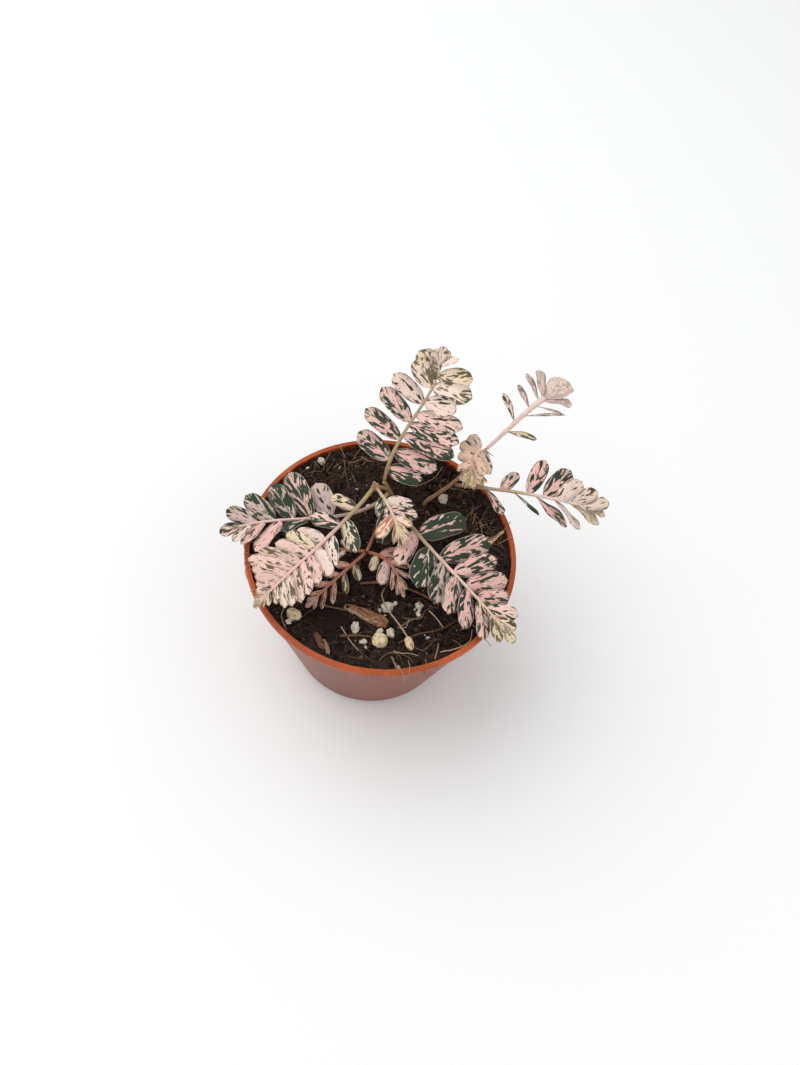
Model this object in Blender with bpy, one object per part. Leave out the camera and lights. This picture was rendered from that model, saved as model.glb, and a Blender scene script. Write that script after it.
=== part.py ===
"""Potted chamber bitter: a thin plastic nursery pot of soil, with three stems and eleven leafy branchlets.

Driving sizes are in millimetres and degrees. Blender's own unit is the metre. +Z is up, and the origin is
the middle of the pot's underside. -Y is the front, and bearings are counted from +X towards +Y.
"""

import math
import random
from dataclasses import dataclass

import bmesh
import bpy
from mathutils import Matrix, Vector, noise
from mathutils.bvhtree import BVHTree

MM = 0.001
GAP = 0.3
SHARP_ANGLE = 38.0

# Pot
POT_HEIGHT = 73.0
RIM_RADIUS = 52.5
RIM_WIDTH = 2.1
RIM_DEPTH = 2.4
RIM_EDGE = 0.6
BASE_RADIUS = 34.0
BASE_CORNER = 1.6
WALL = 0.9
CHANNEL_INNER, CHANNEL_OUTER, CHANNEL_RISE = 14.0, 27.0, 1.5
DRAIN_HOLES, DRAIN_RADIUS = 6, 3.0
FOOT_NOTCHES, NOTCH_WIDTH, NOTCH_HEIGHT = 4, 8.0, 1.2
POT_SIDES = 48

# Soil: the relief is the height of its lumps, and its edge sinks from a share of the radius outwards
SOIL_LEVEL = 69.0
SOIL_RELIEF = 1.1
LUMP_SIZE, CRUMB_SIZE, CRUMB_SHARE = 15.0, 6.5, 0.6
EDGE_FROM, EDGE_DROP = 0.8, 4.0
SOIL_SIDES, SOIL_RINGS = 40, 7
SOIL_SEED = Vector((3.7, 1.9, 0.4))

# Leaflet: blade thickness, petiole, the places of its cross sections, its blunt tip and how far it sags
BLADE = 0.6
PETIOLE_HALF_WIDTH = 0.38
WIDEST_AT = 0.57
LEAF_STATIONS = (0.0, 0.16, 0.46, 0.80)
SMALL_STATIONS = (0.0, 0.26, 0.74)
SMALL_LENGTH = 10.0
BLUNT = 0.34
SQUARENESS = 2.4
TIP_ROUND = 0.035
SAG = 0.10
EDGE_DROOP = 0.10
END_LEAF_FOLD = 0.2
LIFT_SPREAD, ROLL_SPREAD, SAG_SPREAD = 4.0, 3.0, (0.6, 1.5)

STEM_SIDES = 6
RACHIS_RINGS = 11
STEPS_A_RING = 10

# Colours as red, green, blue
TERRACOTTA = (0.60, 0.20, 0.09)
PEAT = (0.045, 0.030, 0.022)
PERLITE = (0.78, 0.76, 0.68)
STAINED = (0.80, 0.70, 0.42)
BARK = (0.25, 0.15, 0.09)
STRAW = (0.60, 0.45, 0.26)
OLD_STEM = (0.38, 0.24, 0.12)
RED_STEM = (0.52, 0.20, 0.13)
PINK_LEAF = (0.82, 0.56, 0.55)
CREAM_LEAF = (0.84, 0.74, 0.58)
GREEN_LEAF = (0.42, 0.46, 0.36)


@dataclass
class Row:
    """One row of leaflets along a rachis: each is (place, length, width, angle), with the place as a share
    of the rachis and the angle counted from it. The rest holds for the whole row."""

    leaflets: tuple
    lift: float = 8.0
    roll: float = 20.0
    fold: float = 0.12


@dataclass
class Branchlet:
    """A rachis that starts at a point, with bearings and climbs at its base, middle and tip."""

    name: str
    start: tuple
    bearings: tuple
    climbs: tuple
    length: float
    radii: tuple
    left: Row
    right: Row
    end_leaf: tuple
    colour: tuple
    seed: int = 1


BRANCHLETS = (
    Branchlet(
        "branchlet_back", (-2.8, 24.7, 82.7), (86, 59, 84), (54, 34, 8), 52.5, (0.95, 0.5),
        Row((
            (0.17, 16.5, 8.0, 72), (0.34, 18.5, 7.0, 80), (0.49, 18.5, 7.4, 75), (0.65, 16.5, 7.2, 77),
            (0.80, 12.5, 6.8, 64), (0.93, 12.0, 6.4, 46),
        )),
        Row((
            (0.10, 14.5, 7.4, 86), (0.235, 18.5, 7.4, 84), (0.38, 22.5, 7.4, 81), (0.465, 21.0, 7.2, 77),
            (0.55, 19.5, 7.2, 74), (0.67, 13.5, 7.0, 80), (0.80, 16.0, 6.8, 84), (0.90, 12.5, 6.2, 66),
        )),
        (9.0, 5.6), PINK_LEAF, seed=11,
    ),
    Branchlet(
        "branchlet_right", (25.6, 30.4, 78.6), (-21, -7, -6), (26, 8, -18), 57, (0.8, 0.4),
        Row((
            (0.335, 9.5, 5.4, 56), (0.52, 15.0, 6.4, 75), (0.625, 14.0, 7.0, 58), (0.72, 12.5, 6.6, 46),
            (0.82, 11.5, 5.8, 40), (0.91, 10.5, 5.0, 26),
        ), lift=20, roll=16),
        Row((
            (0.225, 13.0, 4.4, 40), (0.415, 12.5, 2.6, 30), (0.55, 17.5, 5.8, 30), (0.72, 12.5, 3.2, 36),
            (0.86, 12.0, 5.0, 18),
        ), lift=-10, roll=32),
        (7.0, 3.8), PINK_LEAF, seed=12,
    ),
    Branchlet(
        "branchlet_back_right", (35.45, 41.85, 90.4), (44, 49, 45), (24, 18, 8), 31, (0.8, 0.6),
        Row((
            (0.465, 12.0, 3.2, 61), (0.74, 10.0, 2.8, 70), (0.90, 11.5, 2.8, 67), (0.97, 11.5, 4.2, 52),
        ), lift=20, roll=34, fold=0.3),
        Row((
            (0.32, 12.5, 3.6, 54), (0.61, 16.5, 1.8, 38), (0.83, 13.0, 1.8, 52), (0.95, 12.5, 7.6, 40),
        ), lift=-4, roll=26, fold=0.2),
        (13.0, 8.4), CREAM_LEAF, seed=13,
    ),
    Branchlet(
        "branchlet_young_right", (33.1, 40.6, 90.7), (228, 254, 278), (0, -12, -26), 9, (0.7, 0.4),
        Row((
            (0.14, 12.0, 5.0, 58), (0.38, 11.0, 4.4, 42), (0.62, 11.0, 4.0, 30), (0.84, 11.0, 3.2, 18),
        ), lift=10, roll=26, fold=0.3),
        Row((
            (0.08, 8.0, 4.8, 104), (0.27, 8.5, 4.8, 84), (0.48, 8.0, 4.4, 62), (0.70, 9.0, 3.8, 42),
            (0.89, 9.5, 3.2, 24),
        ), lift=10, roll=26, fold=0.3),
        (11.0, 3.4), CREAM_LEAF, seed=14,
    ),
    Branchlet(
        "branchlet_front_left", (-7.0, 18.6, 84.2), (-109, -124, -132), (16, -3, -24), 64.5, (0.85, 0.4),
        Row((
            (0.305, 15.0, 6.0, 47), (0.44, 14.0, 5.4, 42), (0.56, 12.0, 5.6, 64), (0.62, 12.0, 4.8, 60),
            (0.675, 13.0, 4.8, 56), (0.73, 12.5, 4.6, 54), (0.78, 11.5, 4.4, 53), (0.825, 10.0, 3.8, 53),
            (0.875, 7.0, 3.2, 50), (0.93, 5.0, 2.6, 46),
        )),
        Row((
            (0.20, 10.5, 5.2, 78), (0.355, 11.5, 5.8, 61), (0.49, 11.5, 5.4, 63), (0.565, 12.5, 5.4, 72),
            (0.62, 13.5, 5.4, 65), (0.68, 16.5, 5.6, 59), (0.735, 17.5, 5.8, 55), (0.785, 13.5, 5.0, 53),
            (0.83, 10.0, 4.4, 50), (0.875, 7.5, 3.8, 48), (0.925, 5.0, 3.0, 46),
        )),
        (4.5, 2.4), CREAM_LEAF, seed=15,
    ),
    Branchlet(
        "branchlet_left", (-0.85, 23.8, 75.3), (-112, -159, -155), (12, 9, -6), 64, (0.8, 0.4),
        Row((
            (0.59, 12.0, 4.6, 23), (0.755, 17.0, 6.0, 48), (0.85, 13.5, 4.6, 41), (0.94, 10.0, 4.2, 38),
        )),
        Row((
            (0.46, 13.5, 7.6, 74), (0.58, 20.0, 8.4, 69), (0.685, 15.5, 7.8, 61), (0.80, 14.5, 7.4, 44),
            (0.90, 12.5, 6.4, 28),
        ), lift=18),
        (9.0, 5.0), PINK_LEAF, seed=16,
    ),
    Branchlet(
        "branchlet_front_right", (1.1, 23.8, 72.6), (-72, -45, -42), (31, 2, -13), 74.5, (0.95, 0.4),
        Row((
            (0.35, 20.0, 9.6, 77), (0.525, 21.5, 9.0, 72), (0.63, 17.5, 7.4, 67), (0.715, 16.5, 7.8, 56),
            (0.80, 12.5, 6.0, 50), (0.87, 12.0, 6.0, 35), (0.94, 8.5, 4.6, 24),
        )),
        Row((
            (0.20, 17.0, 7.2, 60), (0.315, 19.5, 7.0, 49), (0.445, 20.0, 9.4, 50), (0.55, 18.0, 7.6, 49),
            (0.645, 16.5, 7.0, 51), (0.735, 16.0, 6.8, 50), (0.82, 15.0, 6.0, 36), (0.91, 11.0, 5.2, 28),
        )),
        (8.0, 4.4), GREEN_LEAF, seed=17,
    ),
    Branchlet(
        "branchlet_young_middle", (-4.8, 18.7, 84.9), (-66, -62, -58), (16, 8, -8), 22, (0.7, 0.4),
        Row((
            (0.24, 11.0, 5.0, 66), (0.46, 11.0, 4.6, 56), (0.66, 8.0, 3.2, 42), (0.84, 6.5, 2.4, 26),
        ), lift=2, roll=16),
        Row((
            (0.20, 7.5, 4.0, 54), (0.42, 10.0, 4.2, 38), (0.62, 11.0, 4.2, 30), (0.82, 8.0, 2.6, 20),
        ), lift=-8, roll=22),
        (6.5, 2.4), CREAM_LEAF, seed=18,
    ),
    Branchlet(
        "branchlet_low_left", (-6.7, -2.8, 73.4), (-163, -178, -186), (14, 4, -6), 18, (0.65, 0.35),
        Row(((0.40, 5.5, 2.6, 50), (0.64, 6.5, 2.8, 46), (0.86, 5.5, 2.4, 32))),
        Row(((0.32, 5.5, 2.6, 52), (0.58, 6.5, 2.8, 46), (0.82, 5.5, 2.4, 32))),
        (5.0, 2.2), PINK_LEAF, seed=19,
    ),
    Branchlet(
        "branchlet_low_front", (-6.3, -4.0, 73.4), (-122, -125, -128), (12, 2, -12), 28, (0.7, 0.35),
        Row((
            (0.24, 7.5, 3.2, 56), (0.44, 9.0, 3.4, 48), (0.62, 9.0, 3.2, 42), (0.78, 7.5, 2.8, 36),
            (0.92, 5.5, 2.2, 28),
        ), lift=-4),
        Row((
            (0.30, 6.0, 2.8, 54), (0.50, 6.5, 2.8, 50), (0.68, 6.5, 2.6, 44), (0.85, 5.0, 2.2, 34),
        ), lift=-4),
        (5.0, 2.0), PINK_LEAF, seed=20,
    ),
    Branchlet(
        "branchlet_low_right", (-4.4, -3.2, 73.4), (-14, -42, -68), (20, 4, -14), 19, (0.7, 0.35),
        Row((
            (0.22, 10.0, 4.6, 42), (0.46, 9.0, 4.0, 38), (0.68, 7.0, 3.0, 32), (0.88, 5.0, 2.2, 24),
        ), lift=0),
        Row((
            (0.18, 6.5, 3.2, 74), (0.42, 10.0, 4.4, 56), (0.64, 8.5, 3.4, 38), (0.86, 6.5, 2.6, 26),
        ), lift=-4),
        (5.5, 2.4), PINK_LEAF, seed=21,
    ),
)

# Stems: each is a point list from below the soil upwards, with a radius
STEM_DEPTH = 22.0
MAIN_STEM = ((1.5, 25.4), (1.5, 25.4, 70.0), (-0.6, 25.1, 76.2), (-2.7, 24.7, 82.0))
MAIN_FORK = ((-0.9, 25.0, 77.0), (-3.9, 22.4, 81.2), (-6.1, 20.1, 84.0))
MAIN_KNOB = (-6.1, 20.1, 84.0)
MAIN_STUB = (-6.9, 20.9, 87.4)
RIGHT_STEM = (
    (14.7, 25.9), (14.7, 25.9, 70.0), (19.6, 28.8, 74.2), (24.2, 31.2, 78.6),
    (27.9, 33.6, 83.4), (31.4, 37.4, 87.6), (35.2, 41.6, 90.2),
)
LOW_STEM = ((-2.5, 12.3), (-2.5, 12.3, 69.6), (-4.2, 4.2, 71.8), (-5.5, -2.6, 73.0))
BRACT_FOOT, BRACT_TIPS = (34.7, 41.0, 89.8), ((38.6, 38.9, 89.3), (37.3, 37.7, 89.1))
MAIN_RADIUS, RIGHT_RADIUS, LOW_RADIUS, KNOB_RADIUS = 1.05, 0.95, 0.85, 1.35
FOOT_SWELL = 1.1
STUB_RADII, BRACT_RADII = (0.9, 0.55), (0.5, 0.3)

# Grains of perlite and pumice: name, x, y, three diameters, colour
GRAINS = (
    ("grain_pumice_front", 4.2, -37.6, (6.2, 5.6, 4.8), STAINED),
    ("grain_pumice_left", -28.6, -31.3, (6.4, 5.0, 4.2), STAINED),
    ("grain_perlite_front", 9.0, -33.4, (3.6, 4.0, 3.2), PERLITE),
    ("grain_perlite_middle", 5.6, -24.4, (4.0, 3.2, 2.8), PERLITE),
    ("grain_perlite_oval", -6.6, -34.8, (3.2, 4.4, 3.0), PERLITE),
    ("grain_perlite_small", -1.9, -39.0, (3.0, 2.2, 2.0), PERLITE),
    ("grain_perlite_pair", 17.3, -21.4, (3.4, 4.0, 2.8), PERLITE),
    ("grain_perlite_back", 22.2, 33.6, (4.4, 3.6, 3.0), PERLITE),
    ("grain_perlite_rear", -31.1, 34.6, (3.4, 3.0, 2.6), PERLITE),
)
GRAIN_SUNK = 0.36
GRAIN_ROUGHNESS = 0.16
GRAIN_TURN = 0.7

# Bark chip: sections as (place from -1 to 1, share of width, share of thickness), and a section's corners
BARK_ENDS = ((-10.6, -25.2), (6.0, -30.6))
BARK_WIDTH, BARK_THICKNESS = 4.4, 2.6
BARK_LIFT, BARK_TILT = 0.22, 0.25
BARK_SECTIONS = ((-1.0, 0.45, 0.5), (-0.62, 0.82, 0.8), (0.1, 1.0, 1.0), (0.72, 1.06, 0.95), (1.0, 0.74, 0.7))
BARK_CORNERS = ((-1.0, -0.1), (-0.55, -1.0), (0.6, -1.0), (1.0, 0.0), (0.45, 1.0), (-0.5, 0.8))

ROOT_ROUTE = ((-6.2, -14.9), (3.4, -13.4), (11.4, -14.1), (18.4, -16.6), (24.4, -19.6))
ROOT_RADIUS = 0.45

# Stalk: x, y and height above the soil
STALK_ROUTE = (
    (3.3, -15.4, 0.0), (2.6, -19.5, 1.4), (5.4, -25.9, 3.4), (10.6, -31.4, 2.4), (14.8, -36.0, 0.7),
)
STALK_RADIUS = 0.35
HUSK_CENTRE, HUSK_SIZE, HUSK_BEARING = (15.4, -37.2), (6.4, 3.6, 2.6), -62.0


# Plain helpers

def clear_scene():
    for obj in list(bpy.data.objects):
        bpy.data.objects.remove(obj, do_unlink=True)


def finish(name, colour, roughness=0.7):
    material = bpy.data.materials.new(name)
    material.use_nodes = True
    shader = material.node_tree.nodes["Principled BSDF"]
    shader.inputs["Base Color"].default_value = (*colour, 1.0)
    shader.inputs["Roughness"].default_value = roughness
    shader.inputs["Metallic"].default_value = 0.0
    material.diffuse_color = (*colour, 1.0)
    return material


def new_object(name, bm, colour=None, roughness=0.7):
    """An object from a bmesh in millimetres."""
    bmesh.ops.scale(bm, vec=Vector((MM, MM, MM)), verts=bm.verts)
    bmesh.ops.recalc_face_normals(bm, faces=bm.faces)
    mesh = bpy.data.meshes.new(name)
    bm.to_mesh(mesh)
    bm.free()
    obj = bpy.data.objects.new(name, mesh)
    bpy.context.scene.collection.objects.link(obj)
    if colour:
        mesh.materials.append(finish(name, colour, roughness))
    return obj


def settle(obj, origin, holder):
    """Gives a finished piece its own origin, hangs it on the holder, and shades its round sides smooth."""
    shift = Vector(origin) * MM
    obj.data.transform(Matrix.Translation(-shift))
    obj.location = shift
    obj.parent = holder
    obj.data.shade_smooth()
    obj.data.set_sharp_from_angle(angle=math.radians(SHARP_ANGLE))


def apply_boolean(obj, operation, others):
    """Joins or cuts obj with other objects, and removes them."""
    group = bpy.data.collections.new("operands")
    bpy.context.scene.collection.children.link(group)
    for other in others:
        group.objects.link(other)
    modifier = obj.modifiers.new(operation, "BOOLEAN")
    modifier.operation = operation
    modifier.operand_type = "COLLECTION"
    modifier.collection = group
    modifier.solver = "EXACT"
    bpy.context.view_layer.update()
    graph = bpy.context.evaluated_depsgraph_get()
    joined = bpy.data.meshes.new_from_object(obj.evaluated_get(graph))
    obj.modifiers.clear()
    obj.data = joined
    for other in others:
        bpy.data.objects.remove(other, do_unlink=True)
    bpy.data.collections.remove(group)


def keep_outer_body(obj):
    """Fills hollows that the union sealed and drops loose scraps, so that one closed body is left."""
    bm = bmesh.new()
    bm.from_mesh(obj.data)
    bmesh.ops.triangulate(bm, faces=bm.faces)
    bm.faces.ensure_lookup_table()
    unseen = set(bm.faces)
    shells = []
    while unseen:
        front = [unseen.pop()]
        shell = []
        while front:
            face = front.pop()
            shell.append(face)
            for edge in face.edges:
                for other in edge.link_faces:
                    if other in unseen:
                        unseen.remove(other)
                        front.append(other)
        shells.append(shell)
    shells.sort(key=volume_of, reverse=True)
    for shell in shells[1:]:
        bmesh.ops.delete(bm, geom=shell, context="FACES")
    bm.to_mesh(obj.data)
    bm.free()


def volume_of(faces):
    total = 0.0
    for face in faces:
        a, b, c = (vert.co for vert in face.verts)
        total += a.dot(b.cross(c)) / 6
    return total


def three_way(values, t):
    """The smooth curve through three values at t = 0, 0.5 and 1."""
    first, middle, last = values
    return first * (1 - t) * (1 - 2 * t) + 4 * middle * t * (1 - t) + last * t * (2 * t - 1)


def add_ring(bm, centre, across, up, radius, sides=STEM_SIDES):
    ring = []
    for k in range(sides):
        angle = 2 * math.pi * k / sides
        ring.append(bm.verts.new(centre + (across * math.cos(angle) + up * math.sin(angle)) * radius))
    return ring


def bridge(bm, first, second):
    count = len(first)
    for k in range(count):
        bm.faces.new((first[k], first[(k + 1) % count], second[(k + 1) % count], second[k]))


def smooth_route(points, steps):
    """Points along a Catmull-Rom curve through the given ones."""
    padded = [points[0] * 2 - points[1], *points, points[-1] * 2 - points[-2]]
    route = []
    for a, b, c, d in zip(padded, padded[1:], padded[2:], padded[3:]):
        square = 2 * a - 5 * b + 4 * c - d
        cube = 3 * b - a - 3 * c + d
        for k in range(steps):
            t = k / steps
            route.append(0.5 * (2 * b + (c - a) * t + square * t**2 + cube * t**3))
    route.append(points[-1])
    return route


def tube(route, radii, sides=STEM_SIDES):
    """A closed tube along a route, as a bmesh. radii are those of its two ends."""
    bm = bmesh.new()
    rings = []
    last = len(route) - 1
    for k, point in enumerate(route):
        along = (route[min(k + 1, last)] - route[max(k - 1, 0)]).normalized()
        across = along.cross(Vector((0, 0, 1)))
        if across.length < 0.05:
            across = Vector((1, 0, 0))
        across.normalize()
        radius = radii[0] + (radii[1] - radii[0]) * k / last
        rings.append(add_ring(bm, point, across, across.cross(along), radius, sides))
    for first, second in zip(rings, rings[1:]):
        bridge(bm, first, second)
    bm.faces.new(reversed(rings[0]))
    bm.faces.new(rings[-1])
    return bm


# Pot

def wall_radius(z):
    """Radius of the wall's outer face at a height."""
    top = RIM_RADIUS - RIM_WIDTH + WALL
    low, high = BASE_CORNER, POT_HEIGHT - RIM_DEPTH
    return BASE_RADIUS + (top - BASE_RADIUS) * (z - low) / (high - low)


def turned(profile, sides):
    """A solid of revolution from (radius, height) points that start and end on the axis."""
    bm = bmesh.new()
    verts = [bm.verts.new((r, 0, z)) for r, z in profile]
    edges = [bm.edges.new(pair) for pair in zip(verts, verts[1:])]
    bmesh.ops.spin(
        bm, geom=verts + edges, axis=(0, 0, 1), cent=(0, 0, 0), angle=2 * math.pi, steps=sides, use_merge=True
    )
    bmesh.ops.remove_doubles(bm, verts=bm.verts, dist=0.001)
    return bm


def floor_profile(lift):
    """The stepped floor as (radius, height), lifted above the underside."""
    return [
        (0.0, lift),
        (CHANNEL_INNER, lift),
        (CHANNEL_INNER + CHANNEL_RISE, CHANNEL_RISE + lift),
        (CHANNEL_OUTER - CHANNEL_RISE, CHANNEL_RISE + lift),
        (CHANNEL_OUTER, lift),
    ]


def pot():
    rim_low = POT_HEIGHT - RIM_DEPTH
    inner_rim = RIM_RADIUS - RIM_WIDTH
    outside = floor_profile(0.0) + [
        (BASE_RADIUS - BASE_CORNER, 0.0),
        (BASE_RADIUS - 0.3 * BASE_CORNER, 0.35 * BASE_CORNER),
        (BASE_RADIUS, BASE_CORNER),
        (wall_radius(rim_low), rim_low),
        (RIM_RADIUS - 0.3 * RIM_EDGE, rim_low),
        (RIM_RADIUS, rim_low + 0.5 * RIM_EDGE),
        (RIM_RADIUS, POT_HEIGHT - RIM_EDGE),
        (RIM_RADIUS - RIM_EDGE, POT_HEIGHT),
        (inner_rim + RIM_EDGE, POT_HEIGHT),
        (inner_rim, POT_HEIGHT - RIM_EDGE),
    ]
    inside = [(inner_rim - 0.05, rim_low), (wall_radius(2 * WALL) - WALL, 2.2 * WALL)]
    inside += [(BASE_RADIUS - BASE_CORNER - 0.5 * WALL, WALL)] + list(reversed(floor_profile(WALL)))
    body = new_object("pot", turned(outside + inside, POT_SIDES), TERRACOTTA, 0.4)
    cutters = []
    middle = 0.5 * (CHANNEL_INNER + CHANNEL_OUTER)
    for k in range(DRAIN_HOLES):
        angle = 2 * math.pi * (k + 0.5) / DRAIN_HOLES
        bm = bmesh.new()
        bmesh.ops.create_cone(
            bm, cap_ends=True, segments=16, radius1=DRAIN_RADIUS, radius2=DRAIN_RADIUS, depth=12,
            matrix=Matrix.Translation((middle * math.cos(angle), middle * math.sin(angle), 2)),
        )
        cutters.append(new_object(f"drain_{k}", bm))
    for k in range(FOOT_NOTCHES):
        turn = Matrix.Rotation(2 * math.pi * (k + 0.5) / FOOT_NOTCHES, 4, "Z")
        bm = bmesh.new()
        size = Matrix.Diagonal((16.0, NOTCH_WIDTH, 2 * NOTCH_HEIGHT, 1.0))
        bmesh.ops.create_cube(bm, size=1.0, matrix=turn @ Matrix.Translation((BASE_RADIUS, 0, 0)) @ size)
        cutters.append(new_object(f"notch_{k}", bm))
    apply_boolean(body, "DIFFERENCE", cutters)
    return body


# Soil and what lies on it

def soil_height(x, y):
    """Height of the lumpy surface, a little lower beside the wall."""
    place = Vector((x, y, 0.0))
    lumps = noise.noise(place / LUMP_SIZE + SOIL_SEED)
    lumps += CRUMB_SHARE * noise.noise(place / CRUMB_SIZE + 2 * SOIL_SEED)
    edge = max(0.0, math.hypot(x, y) / (RIM_RADIUS - RIM_WIDTH) - EDGE_FROM)
    return SOIL_LEVEL + SOIL_RELIEF * lumps - EDGE_DROP * edge


def soil():
    bm = bmesh.new()
    top_radius = wall_radius(SOIL_LEVEL) - WALL - 2 * GAP
    centre = bm.verts.new((0, 0, soil_height(0, 0)))
    rings = []
    for ring in range(1, SOIL_RINGS + 1):
        radius = top_radius * ring / SOIL_RINGS
        verts = []
        for k in range(SOIL_SIDES):
            angle = 2 * math.pi * k / SOIL_SIDES
            x, y = radius * math.cos(angle), radius * math.sin(angle)
            verts.append(bm.verts.new((x, y, soil_height(x, y))))
        rings.append(verts)
    inner_foot = wall_radius(2 * WALL) - WALL - GAP
    below = [(inner_foot, 2.2 * WALL + GAP), (BASE_RADIUS - BASE_CORNER - WALL, WALL + GAP)]
    below += list(reversed(floor_profile(WALL + GAP)))[:-1]
    for radius, z in below:
        angles = [2 * math.pi * k / SOIL_SIDES for k in range(SOIL_SIDES)]
        rings.append([bm.verts.new((radius * math.cos(a), radius * math.sin(a), z)) for a in angles])
    bottom = bm.verts.new((0, 0, WALL + GAP))
    for k in range(SOIL_SIDES):
        following = (k + 1) % SOIL_SIDES
        bm.faces.new((centre, rings[0][k], rings[0][following]))
        bm.faces.new((bottom, rings[-1][following], rings[-1][k]))
    for first, second in zip(rings, rings[1:]):
        bridge(bm, first, second)
    bmesh.ops.triangulate(bm, faces=bm.faces)
    return new_object("soil", bm, PEAT, 0.95)


def pebble(name, size, grow, seed, colour=None):
    """A rough rounded grain about its own origin, grown outwards by a margin."""
    bm = bmesh.new()
    bmesh.ops.create_icosphere(bm, subdivisions=2, radius=0.5)
    for vert in bm.verts:
        rough = 1 + GRAIN_ROUGHNESS * noise.noise(vert.co * 3.1 + Vector((seed, 0.3 * seed, 0)))
        vert.co = Vector(((size[i] * rough + 2 * grow) * vert.co[i] for i in range(3)))
    return new_object(name, bm, colour, 0.8)


def grains(holder):
    """Places the grains, and returns the cutters of their seats in the soil."""
    seats = []
    for k, (name, x, y, size, colour) in enumerate(GRAINS):
        grain = pebble(name, size, 0, k, colour)
        settle(grain, (0, 0, 0), holder)
        seat = pebble(f"seat_of_{name}", size, GAP, k)
        for obj in (grain, seat):
            obj.location = Vector((x, y, soil_height(x, y) + size[2] * (0.5 - GRAIN_SUNK))) * MM
            obj.rotation_euler.z = k * GRAIN_TURN
        seats.append(seat)
    return seats


def bark_shape(name, grow, colour=None):
    """A split chip of bark about its own origin, as lozenge sections from end to end."""
    half = math.dist(*BARK_ENDS) / 2
    bm = bmesh.new()
    rings = []
    for t, wide, thick in BARK_SECTIONS:
        centre = Vector(((half + grow) * t, 0, BARK_TILT * t))
        wide = BARK_WIDTH / 2 * wide + grow
        thick = BARK_THICKNESS / 2 * thick + grow
        rings.append([bm.verts.new(centre + Vector((0, wide * a, thick * b))) for a, b in BARK_CORNERS])
    for first, second in zip(rings, rings[1:]):
        bridge(bm, first, second)
    bm.faces.new(reversed(rings[0]))
    bm.faces.new(rings[-1])
    bmesh.ops.triangulate(bm, faces=bm.faces)
    return new_object(name, bm, colour, 0.9)


def bark(holder):
    """Places the chip, and returns the cutter of its seat in the soil."""
    chip = bark_shape("bark_chip", 0, BARK)
    settle(chip, (0, 0, 0), holder)
    seat = bark_shape("seat_of_bark", 1.3 * GAP)
    (x0, y0), (x1, y1) = BARK_ENDS
    x, y = (x0 + x1) / 2, (y0 + y1) / 2
    for obj in (chip, seat):
        obj.location = Vector((x, y, soil_height(x, y) + BARK_THICKNESS * BARK_LIFT)) * MM
        obj.rotation_euler.z = math.atan2(y1 - y0, x1 - x0)
    return seat


def ground_reader(obj):
    """A function that gives the modelled soil's height at a point, in millimetres."""
    tree = BVHTree.FromObject(obj, bpy.context.evaluated_depsgraph_get())

    def height(x, y):
        hit = tree.ray_cast(Vector((x, y, 200)) * MM, Vector((0, 0, -1)))
        return hit[0].z / MM

    return height


def highest(ground, x, y, reach):
    """The highest soil within reach of a point."""
    around = [(x, y)]
    for k in range(6):
        angle = math.pi * k / 3
        around.append((x + reach * math.cos(angle), y + reach * math.sin(angle)))
    return max(ground(a, b) for a, b in around)


def root_strand(ground, holder):
    route = smooth_route([Vector((x, y, 0)) for x, y in ROOT_ROUTE], 6)
    for point in route:
        point.z = highest(ground, point.x, point.y, 2 * ROOT_RADIUS) + ROOT_RADIUS + GAP
    strand = new_object("root_strand", tube(route, (ROOT_RADIUS, ROOT_RADIUS * 0.7)), OLD_STEM)
    settle(strand, route[0], holder)


def dry_stalk(ground, holder):
    """A fallen stalk that still carries its husk."""
    points = []
    for x, y, lift in STALK_ROUTE:
        points.append(Vector((x, y, highest(ground, x, y, 0.6) + STALK_RADIUS + GAP + lift)))
    stalk = new_object("dry_stalk", tube(smooth_route(points, 4), (STALK_RADIUS, STALK_RADIUS)), STRAW)
    bm = bmesh.new()
    bmesh.ops.create_icosphere(bm, subdivisions=2, radius=0.5)
    x, y = HUSK_CENTRE
    low = highest(ground, x, y, 1.4)
    turn = Matrix.Rotation(math.radians(HUSK_BEARING), 4, "Z") @ Matrix.Diagonal((*HUSK_SIZE, 1.0))
    place = Matrix.Translation((x, y, low + HUSK_SIZE[2] / 2 + GAP * 0.5))
    bmesh.ops.transform(bm, matrix=place @ turn, verts=bm.verts)
    apply_boolean(stalk, "UNION", [new_object("husk", bm)])
    keep_outer_body(stalk)
    settle(stalk, points[0], holder)


# Stems

def full_points(points):
    """A stem's points, the first of them straight below the second inside the soil."""
    x, y, z = points[1]
    return [Vector((x, y, z - STEM_DEPTH))] + [Vector(p) for p in points[1:]]


def stem_hole(name, points, radius):
    """The cutter of the plain upright hole that a stem stands in."""
    x, y, z = points[1]
    low = z - STEM_DEPTH - 2 * GAP
    bm = bmesh.new()
    bmesh.ops.create_cone(
        bm, cap_ends=True, segments=12, radius1=radius + 2 * GAP, radius2=radius + 2 * GAP, depth=40,
        matrix=Matrix.Translation((x, y, low + 20)),
    )
    return new_object(name, bm)


def stem(name, points, radius, taper, colour):
    """A stem from its foot in the soil to its top, where it has a share of its radius."""
    route = smooth_route(full_points(points), 3)
    return new_object(name, tube(route, (radius * FOOT_SWELL, radius * taper)), colour)


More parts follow.
